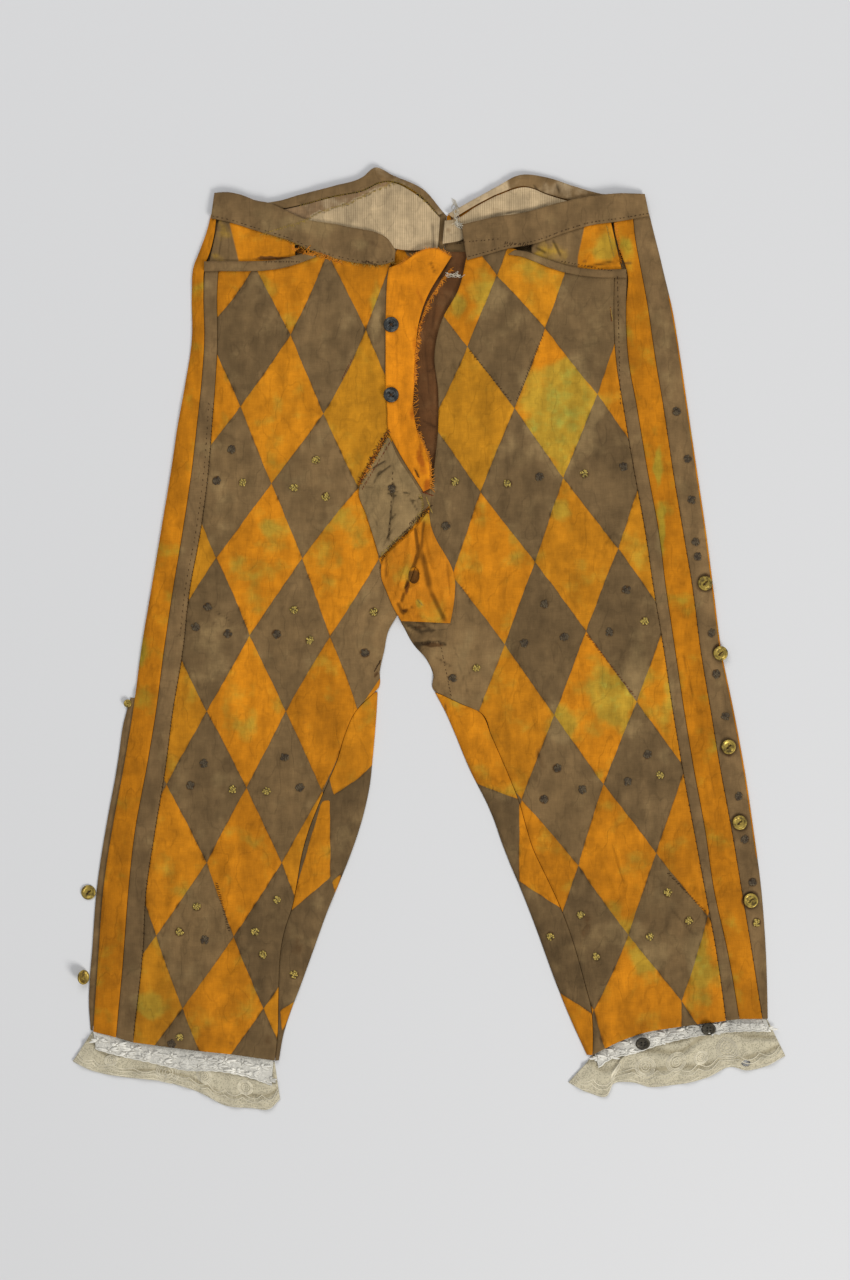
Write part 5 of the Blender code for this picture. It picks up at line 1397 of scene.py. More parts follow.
# %% Linings and back facings
BAND_STATIONS = 15
BAND_LIFT = (OVERLAY, OVERLAY, 0.0)
SMALL = 1.5
LINING_FOLDS = (
    (483, 221, 503, 214, 2.0, -1.0), (503, 214, 529, 212, 2.2, -1.0), (529, 212, 549, 206, 2.0, -0.9),
    (478, 229, 504, 221, 3.2, 2.4), (504, 221, 532, 219, 3.4, 2.6), (532, 219, 560, 211, 3.2, 2.2),
    (328, 229, 365, 226, 2.4, 1.9), (336, 240, 372, 233, 2.2, 1.6), (383, 222, 410, 240, 2.8, 1.4),
    (330, 235, 366, 231, 1.6, -0.7), (350, 214, 384, 206, 2.4, 1.3), (392, 200, 414, 222, 2.8, 1.2),
    (440, 215, 446, 250, 2.6, 1.2), (432, 222, 434, 252, 2.0, -0.8), (420, 205, 424, 232, 1.8, 0.8),
)
BAND_WRINKLES = (
    (533, 185, 541, 196, 1.3, -0.9), (556, 184, 560, 195, 1.3, -0.9), (575, 189, 590, 193, 1.3, -0.8),
    (515, 186, 523, 193, 1.2, -0.6), (300, 202, 306, 212, 1.2, -0.7), (352, 190, 358, 200, 1.2, -0.7),
    (376, 183, 381, 194, 1.1, -0.7), (404, 188, 410, 196, 1.2, -0.7), (327, 196, 331, 205, 1.1, -0.6),
)
# Torn upper edge of the right lining, in millimetres
TORN_EDGE = (
    (-152, 364), (-130, 371), (-112, 377), (-100, 384), (-86, 389), (-72, 393), (-58, 400), (-42, 407),
    (-30, 414),
)
NOT_TORN = -9.0
BARE_BAND = {"end": 74.0, "fade": 9.0, "strength": 1.6}
LINING_FREE = 10.0

for side, band, lining in (("right", RIGHT_BACK_BAND, RIGHT_LINING), ("left", LEFT_BACK_BAND, LEFT_LINING)):
    grid = finer(strip_grid(*edge_pair(band, "inner", "outer"), (0.0, 1.0)), SMALL)
    x, y = grid[..., 0], grid[..., 1]
    low = INSIDE_REST + relief(x, y)
    bare = BARE_BAND["strength"] * soft_step((BARE_BAND["end"] - x) / BARE_BAND["fade"]) * (side == "left")
    sewn_sheet(f"back_band_{side}", grid, low, CLOTH_WALL, BAND_COTTON, "brown_cotton", [f"back_{side}"],
               extra=creases(x, y, BAND_WRINKLES), values={"fading": bare})
    grid = finer(strip_grid(*edge_pair(lining, "lower", "upper"), (0.0, 0.35, 0.7, 1.0)), SMALL)
    x, y = grid[..., 0], grid[..., 1]
    free = np.clip((y - grid[:1, :, 1]) / LINING_FREE, 0.0, 1.0)
    folds = creases(x, y, LINING_FOLDS)
    low = INSIDE_REST + relief(x, y) + np.maximum(folds, 0.0) * free
    torn = y - np.interp(x, *np.array(TORN_EDGE, float).T) + 2.2 * soft_noise(x, y, 3.5, 21)
    torn = np.where((side == "right") & (x > TORN_EDGE[0][0]) & (x < TORN_EDGE[-1][0]), torn, NOT_TORN)
    strip = soft_step(torn + 0.5)
    sewn_sheet(f"lining_{side}", grid, low, LINING_WALL, LINING_COTTON, "striped_lining", [f"back_{side}"],
               extra=np.minimum(folds, 0.0) + 0.35 * strip - 0.9 * np.exp(-((torn + 0.8) ** 2)),
               values={"soil_and_shade": np.maximum(hand_values(grid, SOIL_AND_SHADE_SPOTS), 1.15 * strip)})

# %% Front waistbands
for side, band in (("right", RIGHT_BAND), ("left", LEFT_BAND)):
    rows = (smooth(band["lower"], BAND_STATIONS), smooth(band["upper"], BAND_STATIONS))
    grid = finer(strip_grid(*rows, (0.0, 0.34, 1.0)), SMALL)
    x, y = grid[..., 0], grid[..., 1]
    over_lining = soft_step((BAND_REST[side] - np.abs(x)) / BAND_FADE)
    base = np.maximum(front_floor(x, np.minimum(y, BAND_FLOOR_TOP)),
                      (INSIDE_REST + OVERLAY - 0.05) * over_lining)
    share = np.linspace(0.0, 1.0, grid.shape[1])
    low = base + np.interp(share, (0.0, 0.34, 1.0), BAND_LIFT)[None, :] + relief(x, y)
    sewn_sheet(f"waistband_{side}", grid, low, BAND_WALL, BROWN_COTTON, "brown_cotton",
               [f"front_{side}", f"lining_{side}"])

# %% [markdown]
# ## Pockets and fly
#
# Each pocket mouth has a rolled binding over a facing. Under the fly lies a dark twill facing, and the
# orange stand with its two buttons lies over it.

# %% Pocket facings and bindings
BINDING_STATIONS = 10
FACING_FOLDS = (
    (232, 239, 241, 231, 2.2, 0.9), (255, 261, 300, 261, 1.6, -0.8), (222, 234, 219, 258, 1.4, -0.7),
    (552, 240, 561, 258, 1.5, -1.0), (535, 248, 546, 254, 1.4, -0.9), (606, 225, 614, 260, 1.0, -0.7),
    (616, 261, 632, 264, 1.5, -1.0), (584, 268, 614, 262, 1.6, -1.0), (590, 240, 598, 256, 2.2, 0.7),
)
HALVES = (0.0, 0.5, 1.0)

for side, facing, binding in (("right", RIGHT_FACING, RIGHT_BINDING), ("left", LEFT_FACING, LEFT_BINDING)):
    grid = finer(strip_grid(*edge_pair(facing, "lower", "upper"), HALVES), SMALL)
    x = grid[..., 0]
    share = {"facing": stack((x - np.interp(grid[..., 1], *FACING_SEAMS[side])) / 2.0, grid[..., 1])}
    sewn_sheet(f"pocket_facing_{side}", grid, front_height(grid), CLOTH_WALL, FACING_COTTON,
               "pocket_facing", [f"back_{side}"], share, creases(x, grid[..., 1], FACING_FOLDS))
    edges = (smooth(binding["lower"], BINDING_STATIONS), smooth(binding["upper"], BINDING_STATIONS))
    grid = finer(strip_grid(*edges, HALVES), 1.0)
    roll = np.sin(np.pi * np.linspace(0.0, 1.0, grid.shape[1]))[None, :]
    sewn_sheet(f"pocket_binding_{side}", grid, front_height(grid) + OVERLAY, CLOTH_WALL, BROWN_COTTON,
               "brown_cotton", [f"front_{side}", f"pocket_facing_{side}"], extra=0.8 * roll)

# %% Fly facing and button stand
TWILL_FOLDS = (
    (437, 290, 432, 330, 2.0, -0.7), (424, 340, 430, 400, 1.6, -0.6), (436, 350, 434, 410, 1.8, 0.8),
    (421, 420, 437, 428, 1.6, -0.7), (422, 448, 434, 440, 1.5, 0.8), (426, 455, 430, 480, 1.5, -0.7),
    (452, 258, 444, 276, 2.2, 1.0), (446, 262, 440, 280, 1.6, -0.8), (428, 372, 440, 366, 1.6, -0.6),
)
STAND_FOLDS = (
    (413, 466, 419, 478, 1.4, -1.0), (424, 300, 418, 420, 2.6, 0.9), (408, 262, 404, 330, 3.0, 0.7),
    (430, 262, 436, 276, 1.6, -0.8), (396, 330, 398, 420, 1.6, -0.4), (414, 400, 421, 452, 1.6, -0.6),
    (403, 430, 415, 470, 2.2, 0.8), (420, 256, 424, 280, 2.0, 0.8), (392, 280, 393, 320, 1.6, 0.6),
)
left, right = table_edges(FLY_FACING)
grid = finer(strip_grid(left, right, HALVES), SMALL)
low = INSIDE_REST + 0.1 + 0.8 * relief(grid[..., 0], grid[..., 1])
sewn_sheet("fly_facing", grid, low, LINING_WALL, DARK_TWILL, "dark_facing", ["back_left", "back_right"],
           extra=creases(*np.moveaxis(grid, -1, 0), TWILL_FOLDS))

left, right = table_edges(FLY_STAND)
left = np.concatenate((np.array(FLY_STAND_TAIL["left"][:0:-1], float), left[::-1]))
right = np.concatenate((np.array(FLY_STAND_TAIL["right"][:0:-1], float), right[::-1]))
across = np.array(FLY_STAND_COLUMNS)
top = end_curve(FLY_STAND_TOP, left[-1][0] + across * (right[-1][0] - left[-1][0]))
bottom = (1.0 - across[:, None]) * left[0] + across[:, None] * right[0]
coarse = patch_grid(left, right, bottom, top, across)
grid = finer(coarse, SMALL)
fading_in = np.clip(np.linspace(0.0, len(coarse) / len(FLY_STAND_TAIL["left"]), len(grid)), 0.0, 1.0)
share = np.linspace(0.0, 1.0, grid.shape[1])
fold = fading_in[:, None] * np.interp(share, FLY_STAND_COLUMNS, FLY_STAND_FOLD)[None, :]
sewn_sheet("fly_stand", grid, front_height(grid) + OVERLAY + fold, CLOTH_WALL, STAND_COTTON,
           "orange_cotton", ["front_right", "fly_facing"],
           extra=creases(*np.moveaxis(grid, -1, 0), STAND_FOLDS))

# %% [markdown]
# ## Patch and gusset
#
# A light brown patch covers the lozenges beside the seam, and an orange gusset with a worn hole closes
# the fork. The gusset is gathered, so it has strong upright folds.

# %% Crotch patch
PATCH_STATIONS = 7
GUSSET_STATIONS = 9
PATCH_CREASES = (
    (362, 486, 389, 491, 1.1, -0.8), (389, 491, 411, 494, 1.1, -0.7), (394, 480, 392, 510, 1.1, -0.7),
    (392, 508, 388, 541, 1.1, -0.6), (390, 521, 399, 511, 1.0, -0.6), (386, 541, 397, 522, 1.0, -0.6),
    (372, 469, 386, 461, 1.0, -0.6), (377, 476, 392, 465, 1.0, -0.6), (411, 502, 426, 496, 1.0, -0.7),
    (404, 491, 425, 501, 1.0, -0.6), (363, 485, 398, 491, 1.8, 0.9), (406, 490, 423, 504, 1.8, 0.9),
    (366, 525, 403, 457, 2.6, 0.7), (391, 539, 405, 474, 2.2, 0.7), (366, 500, 384, 522, 2.2, 0.6),
    (381, 470, 372, 487, 1.4, -0.5), (398, 500, 392, 530, 1.3, -0.5), (386, 493, 399, 497, 1.2, -0.6),
    (372, 508, 378, 528, 1.2, -0.4), (410, 498, 418, 512, 1.3, -0.5), (387, 447, 392, 462, 1.4, 0.6),
    (384, 548, 391, 534, 1.3, 0.6),
)
coarse = strip_grid(smooth(PATCH["left"], PATCH_STATIONS), smooth(PATCH["right"], PATCH_STATIONS),
                    np.linspace(0.0, 1.0, 5))
grid = finer(coarse, 1.2)
sewn_sheet("crotch_patch", grid, front_height(grid) + OVERLAY, CLOTH_WALL, PATCH_COTTON, "faded_brown",
           ["front_right"], extra=1.8 * creases(grid[..., 0], grid[..., 1], PATCH_CREASES))

# %% Gusset
GUSSET_FOLDS = (
    (415, 527, 418, 552, 1.7, -1.2), (418, 552, 409, 581, 2.2, -1.3), (408, 580, 401, 603, 1.8, -1.2),
    (409, 528, 411, 553, 2.4, 1.6), (411, 553, 402, 580, 3.0, 2.2), (401, 581, 396, 602, 2.4, 1.8),
    (424, 520, 421, 552, 1.8, -0.9), (422, 552, 430, 590, 3.2, -1.0), (430, 590, 446, 623, 2.6, -1.0),
    (432, 548, 443, 592, 3.6, 2.2), (443, 592, 448, 612, 3.0, 1.6), (401, 614, 413, 606, 2.2, -1.2),
    (404, 592, 421, 584, 2.0, 1.9), (392, 550, 390, 592, 2.0, 1.0), (387, 552, 386, 580, 1.6, -0.8),
    (420, 592, 423, 618, 2.8, 1.5), (408, 604, 413, 621, 2.0, 1.1), (447, 560, 450, 600, 1.8, -0.6),
    (399, 556, 398, 590, 1.4, -0.5), (426, 530, 432, 560, 2.0, 1.2), (396, 600, 402, 612, 1.8, -0.9),
)
coarse = strip_grid(smooth(GUSSET["left"], GUSSET_STATIONS), smooth(GUSSET["right"], GUSSET_STATIONS),
                    np.linspace(0.0, 1.0, 6))
grid, keep = with_hole(finer(coarse, 1.1), GUSSET_HOLE)
x, y = grid[..., 0], grid[..., 1]
low = highest_near(x, y, GUSSET_REACH) + relief(x, y) + OVERLAY
sewn_sheet("gusset", grid, low, CLOTH_WALL, GUSSET_COTTON, "orange_cotton", ["front_right", "front_left"],
           extra=1.1 * creases(x, y, GUSSET_FOLDS), keep=keep)
print("triangles so far:", triangle_count)

# %% [markdown]
# ## Lace at the knees
#
# Two rows of machine lace are gathered under each hem: a cream one lying on the surface and a shorter
# white one over it. The gathers are a slow wave along the hem that grows towards the free edge.

# %% Lace tables
LACE_WALL = 1.0
RIGHT_LACE = {
    "hem": ((-303, -352), (-281, -357.5), (-248, -365.5), (-208, -369.5), (-180, -372.5),
            (-139, -379)),
    "cream": ((-320.5, -379), (-304, -387), (-275, -393), (-240, -397), (-217, -403),
              (-202, -409), (-185, -418), (-160, -421), (-143, -421.5), (-134, -413)),
    "white": ((-300, -368), (-278, -374), (-246, -381), (-219, -387), (-189, -388), (-160, -394),
              (-141, -401)),
}
LEFT_LACE = {
    "hem": ((148, -373), (162, -365.5), (193, -353.5), (222, -348.5), (243, -343.5), (280, -340.5),
            (304, -340.5)),
    "cream": ((125.5, -398), (143, -407), (160, -410), (165, -400), (184, -398), (198, -402),
              (213, -401), (234, -398), (249, -394), (272, -384), (286, -387), (301, -384),
              (320.5, -374)),
    "white": ((152, -385), (163, -377), (184, -372), (204, -365), (249, -355), (279, -352),
              (308, -352)),
}
LACE_HOLE = {"x": 285.0, "y": -380.5, "width": 8.5, "height": 5.5}
LACE_WAVES = {"right": 7, "left": 8}
LACE_LIFT = 1.5
LACE_TUCK = 5.0
LACE_TUCK_SIDE = 9.0
LACE_CORNER = 4.5
LACE_DRIFT = {"turns": 0.6, "rate": 9.0}
LACE_STATIONS = 210
LACE_COLUMNS = {"cream": 40, "white": 26}
LACE_RUN = 300.0
# Folds along the lace: place between hem and edge, how far it bends, seed and rise
LACE_FOLDS = ((0.5, 0.16, 71, 2.2), (0.84, 0.1, 74, 1.3), (0.3, 0.08, 77, 1.2))

# %% Lace sheets
lace_grids = {}
for side, lace in (("right", RIGHT_LACE), ("left", LEFT_LACE)):
    hem = smooth(lace["hem"], LACE_STATIONS)
    cream_edge, white_edge = smooth(lace["cream"], LACE_STATIONS), smooth(lace["white"], LACE_STATIONS)
    s = np.linspace(0.0, 1.0, LACE_STATIONS)
    drift = LACE_DRIFT["turns"] * np.sin(LACE_DRIFT["rate"] * s)
    wave = 0.5 - 0.5 * np.cos(2.0 * math.pi * LACE_WAVES[side] * s + drift)

    t = np.linspace(0.0, 1.0, LACE_COLUMNS["cream"])
    grid = strip_grid(hem - (0.0, SEAM_GAP), cream_edge, t)
    keep = None
    if side == "left":
        grid, keep = with_hole(grid, LACE_HOLE)
    rumple = 0.5 + 0.5 * soft_noise(grid[..., 0], grid[..., 1], 7.0, 51) * t[None, :]
    low = LACE_LIFT * wave[:, None] * t[None, :] + 1.1 * rumple * np.minimum(t * 4.0, 1.0)[None, :]
    shade = np.zeros_like(low)
    for middle, bend, seed, rise in LACE_FOLDS:
        path = middle + bend * soft_noise(s * LACE_RUN, 0.0 * s, 38.0, seed)[:, None]
        fade = soft_step(0.9 + soft_noise(s * LACE_RUN, 0.0 * s, 55.0, seed + 1))[:, None]
        low = low + rise * fade * np.exp(-(((t[None, :] - path) / 0.075) ** 2))
        # Painted shade just below each fold's ridge
        shade = np.maximum(shade, 0.55 * fade * np.exp(-(((t[None, :] - path + 0.12) / 0.05) ** 2)))
    lace_grids["cream_" + side] = (grid, low + LACE_WALL)
    sewn_sheet(f"lace_cream_{side}", grid, low, LACE_WALL, CREAM_LACE, "cream_lace", ["floor"], keep=keep,
               values={"painted_shade": shade})

    tuck, below = hem + (0.0, LACE_TUCK), hem - (0.0, 0.5)
    tuck[0, 0] += LACE_TUCK_SIDE
    tuck[-1, 0] -= LACE_TUCK_SIDE
    below[0, 0] += LACE_CORNER
    below[-1, 0] -= LACE_CORNER
    t = np.linspace(0.0, 1.0, LACE_COLUMNS["white"])
    grid = np.concatenate((tuck[:, None], strip_grid(below, white_edge, t)), axis=1)
    t = np.concatenate(([0.0], t))
    reach = np.linalg.norm(white_edge - hem, axis=1) / np.linalg.norm(cream_edge - hem, axis=1)
    low = INSIDE_REST + LACE_LIFT * (wave * reach)[:, None] * t[None, :]
    rumple = 0.5 + 0.5 * soft_noise(grid[..., 0], grid[..., 1], 5.0, 52)
    low = low + (1.2 + 0.9 * rumple) * np.minimum(t * 2.0, 1.0)[None, :]
    lace_grids["white_" + side] = (grid, low + LACE_WALL)
    sewn_sheet(f"lace_white_{side}", grid, low, LACE_WALL, WHITE_LACE, "white_lace",
               [f"lace_cream_{side}"])

# %% [markdown]
# ## Buttons
#
# A button is a profile turned about its axis. The grid's rows are rings and its columns go round. The
# holes are wells pressed into the rings, deep enough to be dark, with the thread over them.


# %% Turned buttons
BUTTON_THICKNESS = 2.2
BUTTON_FACE = {
    "radius": (0.0, 0.2, 0.4, 0.58, 0.66, 0.74, 0.82, 0.90, 0.96, 1.0),
    "height": (0.52, 0.52, 0.53, 0.56, 0.66, 0.79, 0.82, 0.80, 0.70, 0.45),
}
BUTTON_BACK = {"radius": (1.0, 0.94, 0.5, 0.0), "height": (0.45, 0.0, 0.0, 0.0)}
TURN_STEPS = 56
FACE_RINGS = 34


def button_grid(radius, wells, well_radius):
    """Rings of points from the face's middle over the rim to the back; wells are pressed into the
    face. Returned in the button's own place, axis along Z."""
    r = np.linspace(0.0, 1.0, FACE_RINGS)
    z = np.interp(r, BUTTON_FACE["radius"], BUTTON_FACE["height"])
    r, z = np.concatenate((r, BUTTON_BACK["radius"][1:])), np.concatenate((z, BUTTON_BACK["height"][1:]))
    turn = np.linspace(0.0, 2.0 * math.pi, TURN_STEPS, endpoint=False)
    x, y = radius * r[:, None] * np.cos(turn), radius * r[:, None] * np.sin(turn)
    z = np.repeat(BUTTON_THICKNESS * z[:, None], TURN_STEPS, axis=1)
    face = (np.arange(len(r)) < FACE_RINGS)[:, None]
    for wx, wy in wells:
        far = np.hypot(x - wx, y - wy) / well_radius
        z = z - face * 0.9 * (1.0 - soft_step((far - 0.55) / 0.6))
    return np.stack((x, y, z), axis=-1)


def ring_mesh(name, p):
    """One mesh from an array of shapes x rings x sides x 3, each shape closed round its sides."""
    index = np.arange(p[..., 0].size).reshape(p.shape[:3])
    after = np.roll(index, -1, axis=2)
    faces = np.stack((index[:, :-1], index[:, 1:], after[:, 1:], after[:, :-1]), -1).reshape(-1, 4)
    mesh = bpy.data.meshes.new(name)
    mesh.from_pydata(((p.reshape(-1, 3) - (0.0, CENTRE_Y, 0.0)) * MM).tolist(), [], faces.tolist())
    mesh.shade_smooth()
    return mesh


def turn_about(points, degrees, axis):
    """Points turned about the X, Y or Z axis."""
    c, s = math.cos(math.radians(degrees)), math.sin(math.radians(degrees))
    i, j = [k for k in (0, 1, 2) if k != axis]
    if axis == 1:
        s = -s
    out = points.copy()
    out[..., i] = points[..., i] * c - points[..., j] * s
    out[..., j] = points[..., i] * s + points[..., j] * c
    return out


FOUR_HOLES = ((1.5, 1.5), (-1.5, 1.5), (-1.5, -1.5), (1.5, -1.5))
TWO_HOLES = ((1.3, 1.3), (-1.3, -1.3))
FLY_BUTTON_RADIUS = 6.9
SIDE_BUTTON_RADIUS = 6.6
SMALL_BUTTON_RADIUS = 3.6
BUTTON_CLEARANCE = 0.4
FLY_BUTTONS = ((-34, 283), (-34, 220))
RIGHT_FLAT_BUTTON = (-306.4, -227)
RIGHT_SMALL_BUTTON = (-271, -57)
RIGHT_HANGING_BUTTON = (-311, -303)
HANGING_HEIGHT = 4.8
HANGING_TURN = 45
KNEE_BUTTONS = ((192, -362), (251, -349))
KNEE_BUTTON_HEIGHT = 6.4
KNEE_BUTTON_TURN = 28


def under_button(x, y, radius):
    """The front layer's highest underside beneath a button."""
    x, y = np.array(x, float), np.array(y, float)
    return float(highest_near(x, y, 0.8 * radius) + relief(x, y))


def add_button(name, radius, place, finish, slot, wells, well_radius, turn=0.0, axis=0):
    """A button at its place, turned about X or Y where it doesn't lie flat."""
    points = turn_about(button_grid(radius, wells, well_radius), turn, axis) + place
    add_piece(ring_mesh(name + "_turned", points[None]), finish, slot, name)


for count, (x, y) in enumerate(FLY_BUTTONS, 1):
    z = under_button(x, y, FLY_BUTTON_RADIUS) + OVERLAY + CLOTH_WALL + BUTTON_CLEARANCE
    add_button(f"fly_button_{count}", FLY_BUTTON_RADIUS, (x, y, z), BLACK_METAL, "blackened_metal",
               FOUR_HOLES, 0.85)
for count, (x, y) in enumerate(LEFT_SIDE_BUTTONS, 1):
    z = under_button(x, y, SIDE_BUTTON_RADIUS) + CLOTH_WALL + BUTTON_CLEARANCE
    add_button(f"side_button_left_{count}", SIDE_BUTTON_RADIUS, (x, y, z), BRASS, "brass", TWO_HOLES, 1.0)
add_button("side_button_right_1", SIDE_BUTTON_RADIUS, (*RIGHT_FLAT_BUTTON, 0.0), BRASS, "brass",
           TWO_HOLES, 1.0)
add_button("side_button_right_2", SMALL_BUTTON_RADIUS,
           (*RIGHT_SMALL_BUTTON, CLOTH_WALL + BUTTON_CLEARANCE), BRASS, "brass", ((0.0, 0.0),), 0.7)
add_button("side_button_right_3", SIDE_BUTTON_RADIUS, (*RIGHT_HANGING_BUTTON, HANGING_HEIGHT), BRASS,
           "brass", TWO_HOLES, 1.0, HANGING_TURN, 1)
for count, (x, y) in enumerate(KNEE_BUTTONS, 1):
    add_button(f"knee_button_{count}", SIDE_BUTTON_RADIUS, (x, y, KNEE_BUTTON_HEIGHT), DARK_METAL,
               "blackened_metal", FOUR_HOLES, 0.85, KNEE_BUTTON_TURN, 0)
print("triangles so far:", triangle_count)

# %% [markdown]
# ## Thread
#
# A thread is a tube of rings that stand square to its path. All threads of one colour are one mesh, made
# from one array of paths. Stitches take their heights from the map of the tops, so they follow the
# cloth. In Blender one could scatter a stitch along a curve, but here each one gets its own turn.

# %% Thread shapes
def tube_rings(paths, radius, sides=6):
    """Rings round paths (threads x places x 3): p + r (cos a side + sin a up), with pointed ends."""
    paths = np.asarray(paths, float)
    along = np.gradient(paths, axis=1)
    along /= np.linalg.norm(along, axis=-1, keepdims=True) + 1e-9
    side = np.cross(along, (0.0, 0.0, 1.0))
    side /= np.linalg.norm(side, axis=-1, keepdims=True) + 1e-9
    up = np.cross(side, along)
    a = np.linspace(0.0, 2.0 * math.pi, sides, endpoint=False)[:, None]
    taper = np.ones(paths.shape[1])
    taper[[0, -1]] = 0.02
    out = np.cos(a) * side[:, :, None] + np.sin(a) * up[:, :, None]
    return paths[:, :, None] + radius * taper[None, :, None, None] * out


def along_edge(edge, pitch, luck):
    """Places about every `pitch` mm along an edge, and the direction at each."""
    p = np.asarray(edge, float)
    run = np.concatenate(([0.0], np.cumsum(np.linalg.norm(np.diff(p, axis=0), axis=1))))
    at = np.arange(pitch / 2.0, run[-1], pitch)
    at = at + luck.uniform(-0.25, 0.25, len(at)) * pitch
    here, past = [stack(*[np.interp(a, run, p[:, i]) for i in (0, 1)]) for a in (at - 0.4, at + 0.4)]
    return 0.5 * (here + past), (past - here) / np.linalg.norm(past - here, axis=1)[:, None]


def stitches(edge, pitch, length, slant, seed, rise=0.22):
    """Short stitches along an edge, each turned from it by about `slant` degrees."""
    luck = np.random.default_rng(seed)
    places, ahead = along_edge(edge, pitch, luck)
    turn = np.radians(slant + luck.normal(0.0, 10.0, len(places)))
    way = stack(ahead[:, 0] * np.cos(turn) - ahead[:, 1] * np.sin(turn),
                ahead[:, 0] * np.sin(turn) + ahead[:, 1] * np.cos(turn))
    way *= 0.5 * length * luck.uniform(0.65, 1.3, (len(places), 1))
    u = np.linspace(-1.0, 1.0, 5)
    xy = places[:, None] + u[None, :, None] * way[:, None]
    return np.concatenate((xy, (top_at(xy) + rise * (1.0 - u**2) - 0.05)[..., None]), axis=-1)


def fringe(edge, pitch, length, out, seed):
    """Loose threads that leave an edge to one side (1 left of its direction, -1 right) and curl."""
    luck = np.random.default_rng(seed)
    places, ahead = along_edge(edge, pitch, luck)
    way = out * stack(-ahead[:, 1], ahead[:, 0]) + luck.normal(0.0, 0.55, (len(places), 1)) * ahead
    groups = 0.8 + 0.5 * soft_noise(places[:, 0], places[:, 1], 4.0, seed)
    way *= (length * groups * luck.uniform(0.3, 1.25, len(places)))[:, None]
    curl = luck.normal(0.0, 0.4, (len(places), 1)) * length * ahead
    u = np.linspace(-0.3, 1.0, 7)[None, :, None]
    xy = places[:, None] + u * way[:, None] + u**2 * curl[:, None]
    z = np.maximum(top_at(xy), top_at(places)[:, None] - 1.2 * u[..., 0].clip(0.0)) + 0.12
    return np.concatenate((xy, z[..., None]), axis=-1)


def loose(edge, count, wander, seed, lift=0.5):
    """Long loose threads beside one line, which wander to both sides."""
    luck = np.random.default_rng(seed)
    p = smooth(edge, 7)[None] + luck.normal(0.0, wander, (count, 7, 2))
    xy = np.stack([smooth(q, 22) for q in p])
    z = top_at(xy) + lift * luck.uniform(0.3, 1.0, (count, 1))
    return np.concatenate((xy, z[..., None]), axis=-1)


def add_threads(name, groups, radius, finish, slot):
    """One mesh for all threads of a colour; groups may have different counts of places."""
    same = {}
    for paths in groups:
        same.setdefault(paths.shape[1], []).append(paths)
    for places, sets in same.items():
        rings = tube_rings(np.concatenate(sets), radius)
        add_piece(ring_mesh(f"{name}_{places}", rings), finish, slot)
        print(f"{name}: {len(rings)} threads of {places} places")


# %% [markdown]
# ## Sewing
#
# The tapes are whipped down by hand with dark thread, mended seams show slanting stitches, and raw edges
# have frayed. Rows give two marked pixels, the pitch, the length and the slant of the stitches.

# %% Mended seams and tapes
DARK_THREAD = cotton("dark_thread", (66, 46, 28), (66, 46, 28))
RED_THREAD = cotton("red_brown_thread", (112, 52, 26), (112, 52, 26))
ORANGE_THREAD = cotton("orange_thread", (204, 128, 36), (204, 128, 36))
GOLD_THREAD = cotton("gold_thread", (166, 138, 66), (166, 138, 66))
PALE_THREAD = cotton("pale_thread", (214, 204, 182), (214, 204, 182))

DARK_RUNS = (
    (543, 335, 516, 402, 2.6, 2.6, 55), (469, 350, 511, 402, 3.4, 2.4, 60),
    (217, 882, 230, 932, 1.9, 3.0, 62), (667, 872, 706, 912, 2.6, 2.6, 50),
    (390, 432, 361, 485, 1.6, 3.0, 70), (431, 507, 409, 525, 1.1, 3.4, 70),
    (411, 527, 389, 548, 1.2, 3.4, 65), (389, 548, 381, 561, 1.2, 3.0, 60),
    (504, 244, 533, 247, 2.0, 3.0, 70), (393, 471, 389, 543, 5.0, 2.6, 5),
    (617, 276, 620, 406, 4.2, 2.6, 0), (381, 660, 374, 672, 1.2, 3.0, 20),
    (306, 252, 342, 262, 2.6, 2.0, 50), (455, 244, 500, 240, 3.6, 2.0, 20),
    (266, 263, 300, 263, 2.2, 1.6, 60), (560, 262, 612, 272, 3.0, 1.8, 50),
    (415, 470, 419, 478, 1.4, 2.0, 30), (640, 1041, 645, 1041, 1.0, 4.0, 40),
    (706, 1028, 712, 1028, 1.0, 4.0, 40), (421, 643, 440, 642, 2.4, 1.8, 80),
    (440, 642, 452, 700, 3.4, 1.8, 10),
)
RED_RUNS = (
    (586, 634, 635, 697, 2.8, 2.6, 45), (352, 360, 342, 380, 2.2, 2.2, 30),
    (392, 440, 362, 490, 2.4, 2.4, 20), (320, 254, 340, 263, 1.8, 3.0, 30),
    (422, 492, 433, 496, 1.2, 3.0, 20), (610, 308, 611, 322, 1.4, 2.6, 15),
)
GOLD_RUNS = (
    (610, 309, 612, 321, 1.1, 3.0, 10), (426, 497, 432, 513, 1.1, 3.4, 20),
    (606, 226, 614, 259, 2.2, 2.0, 10), (388, 440, 361, 486, 2.6, 2.2, 60),
    (418, 600, 423, 606, 1.3, 2.6, 25),
)


def runs(rows, seed):
    """Stitches for each row of a table."""
    return [stitches(on_cloth(((x0, y0), (x1, y1))), pitch, length, slant, seed + i)
            for i, (x0, y0, x1, y1, pitch, length, slant) in enumerate(rows)]


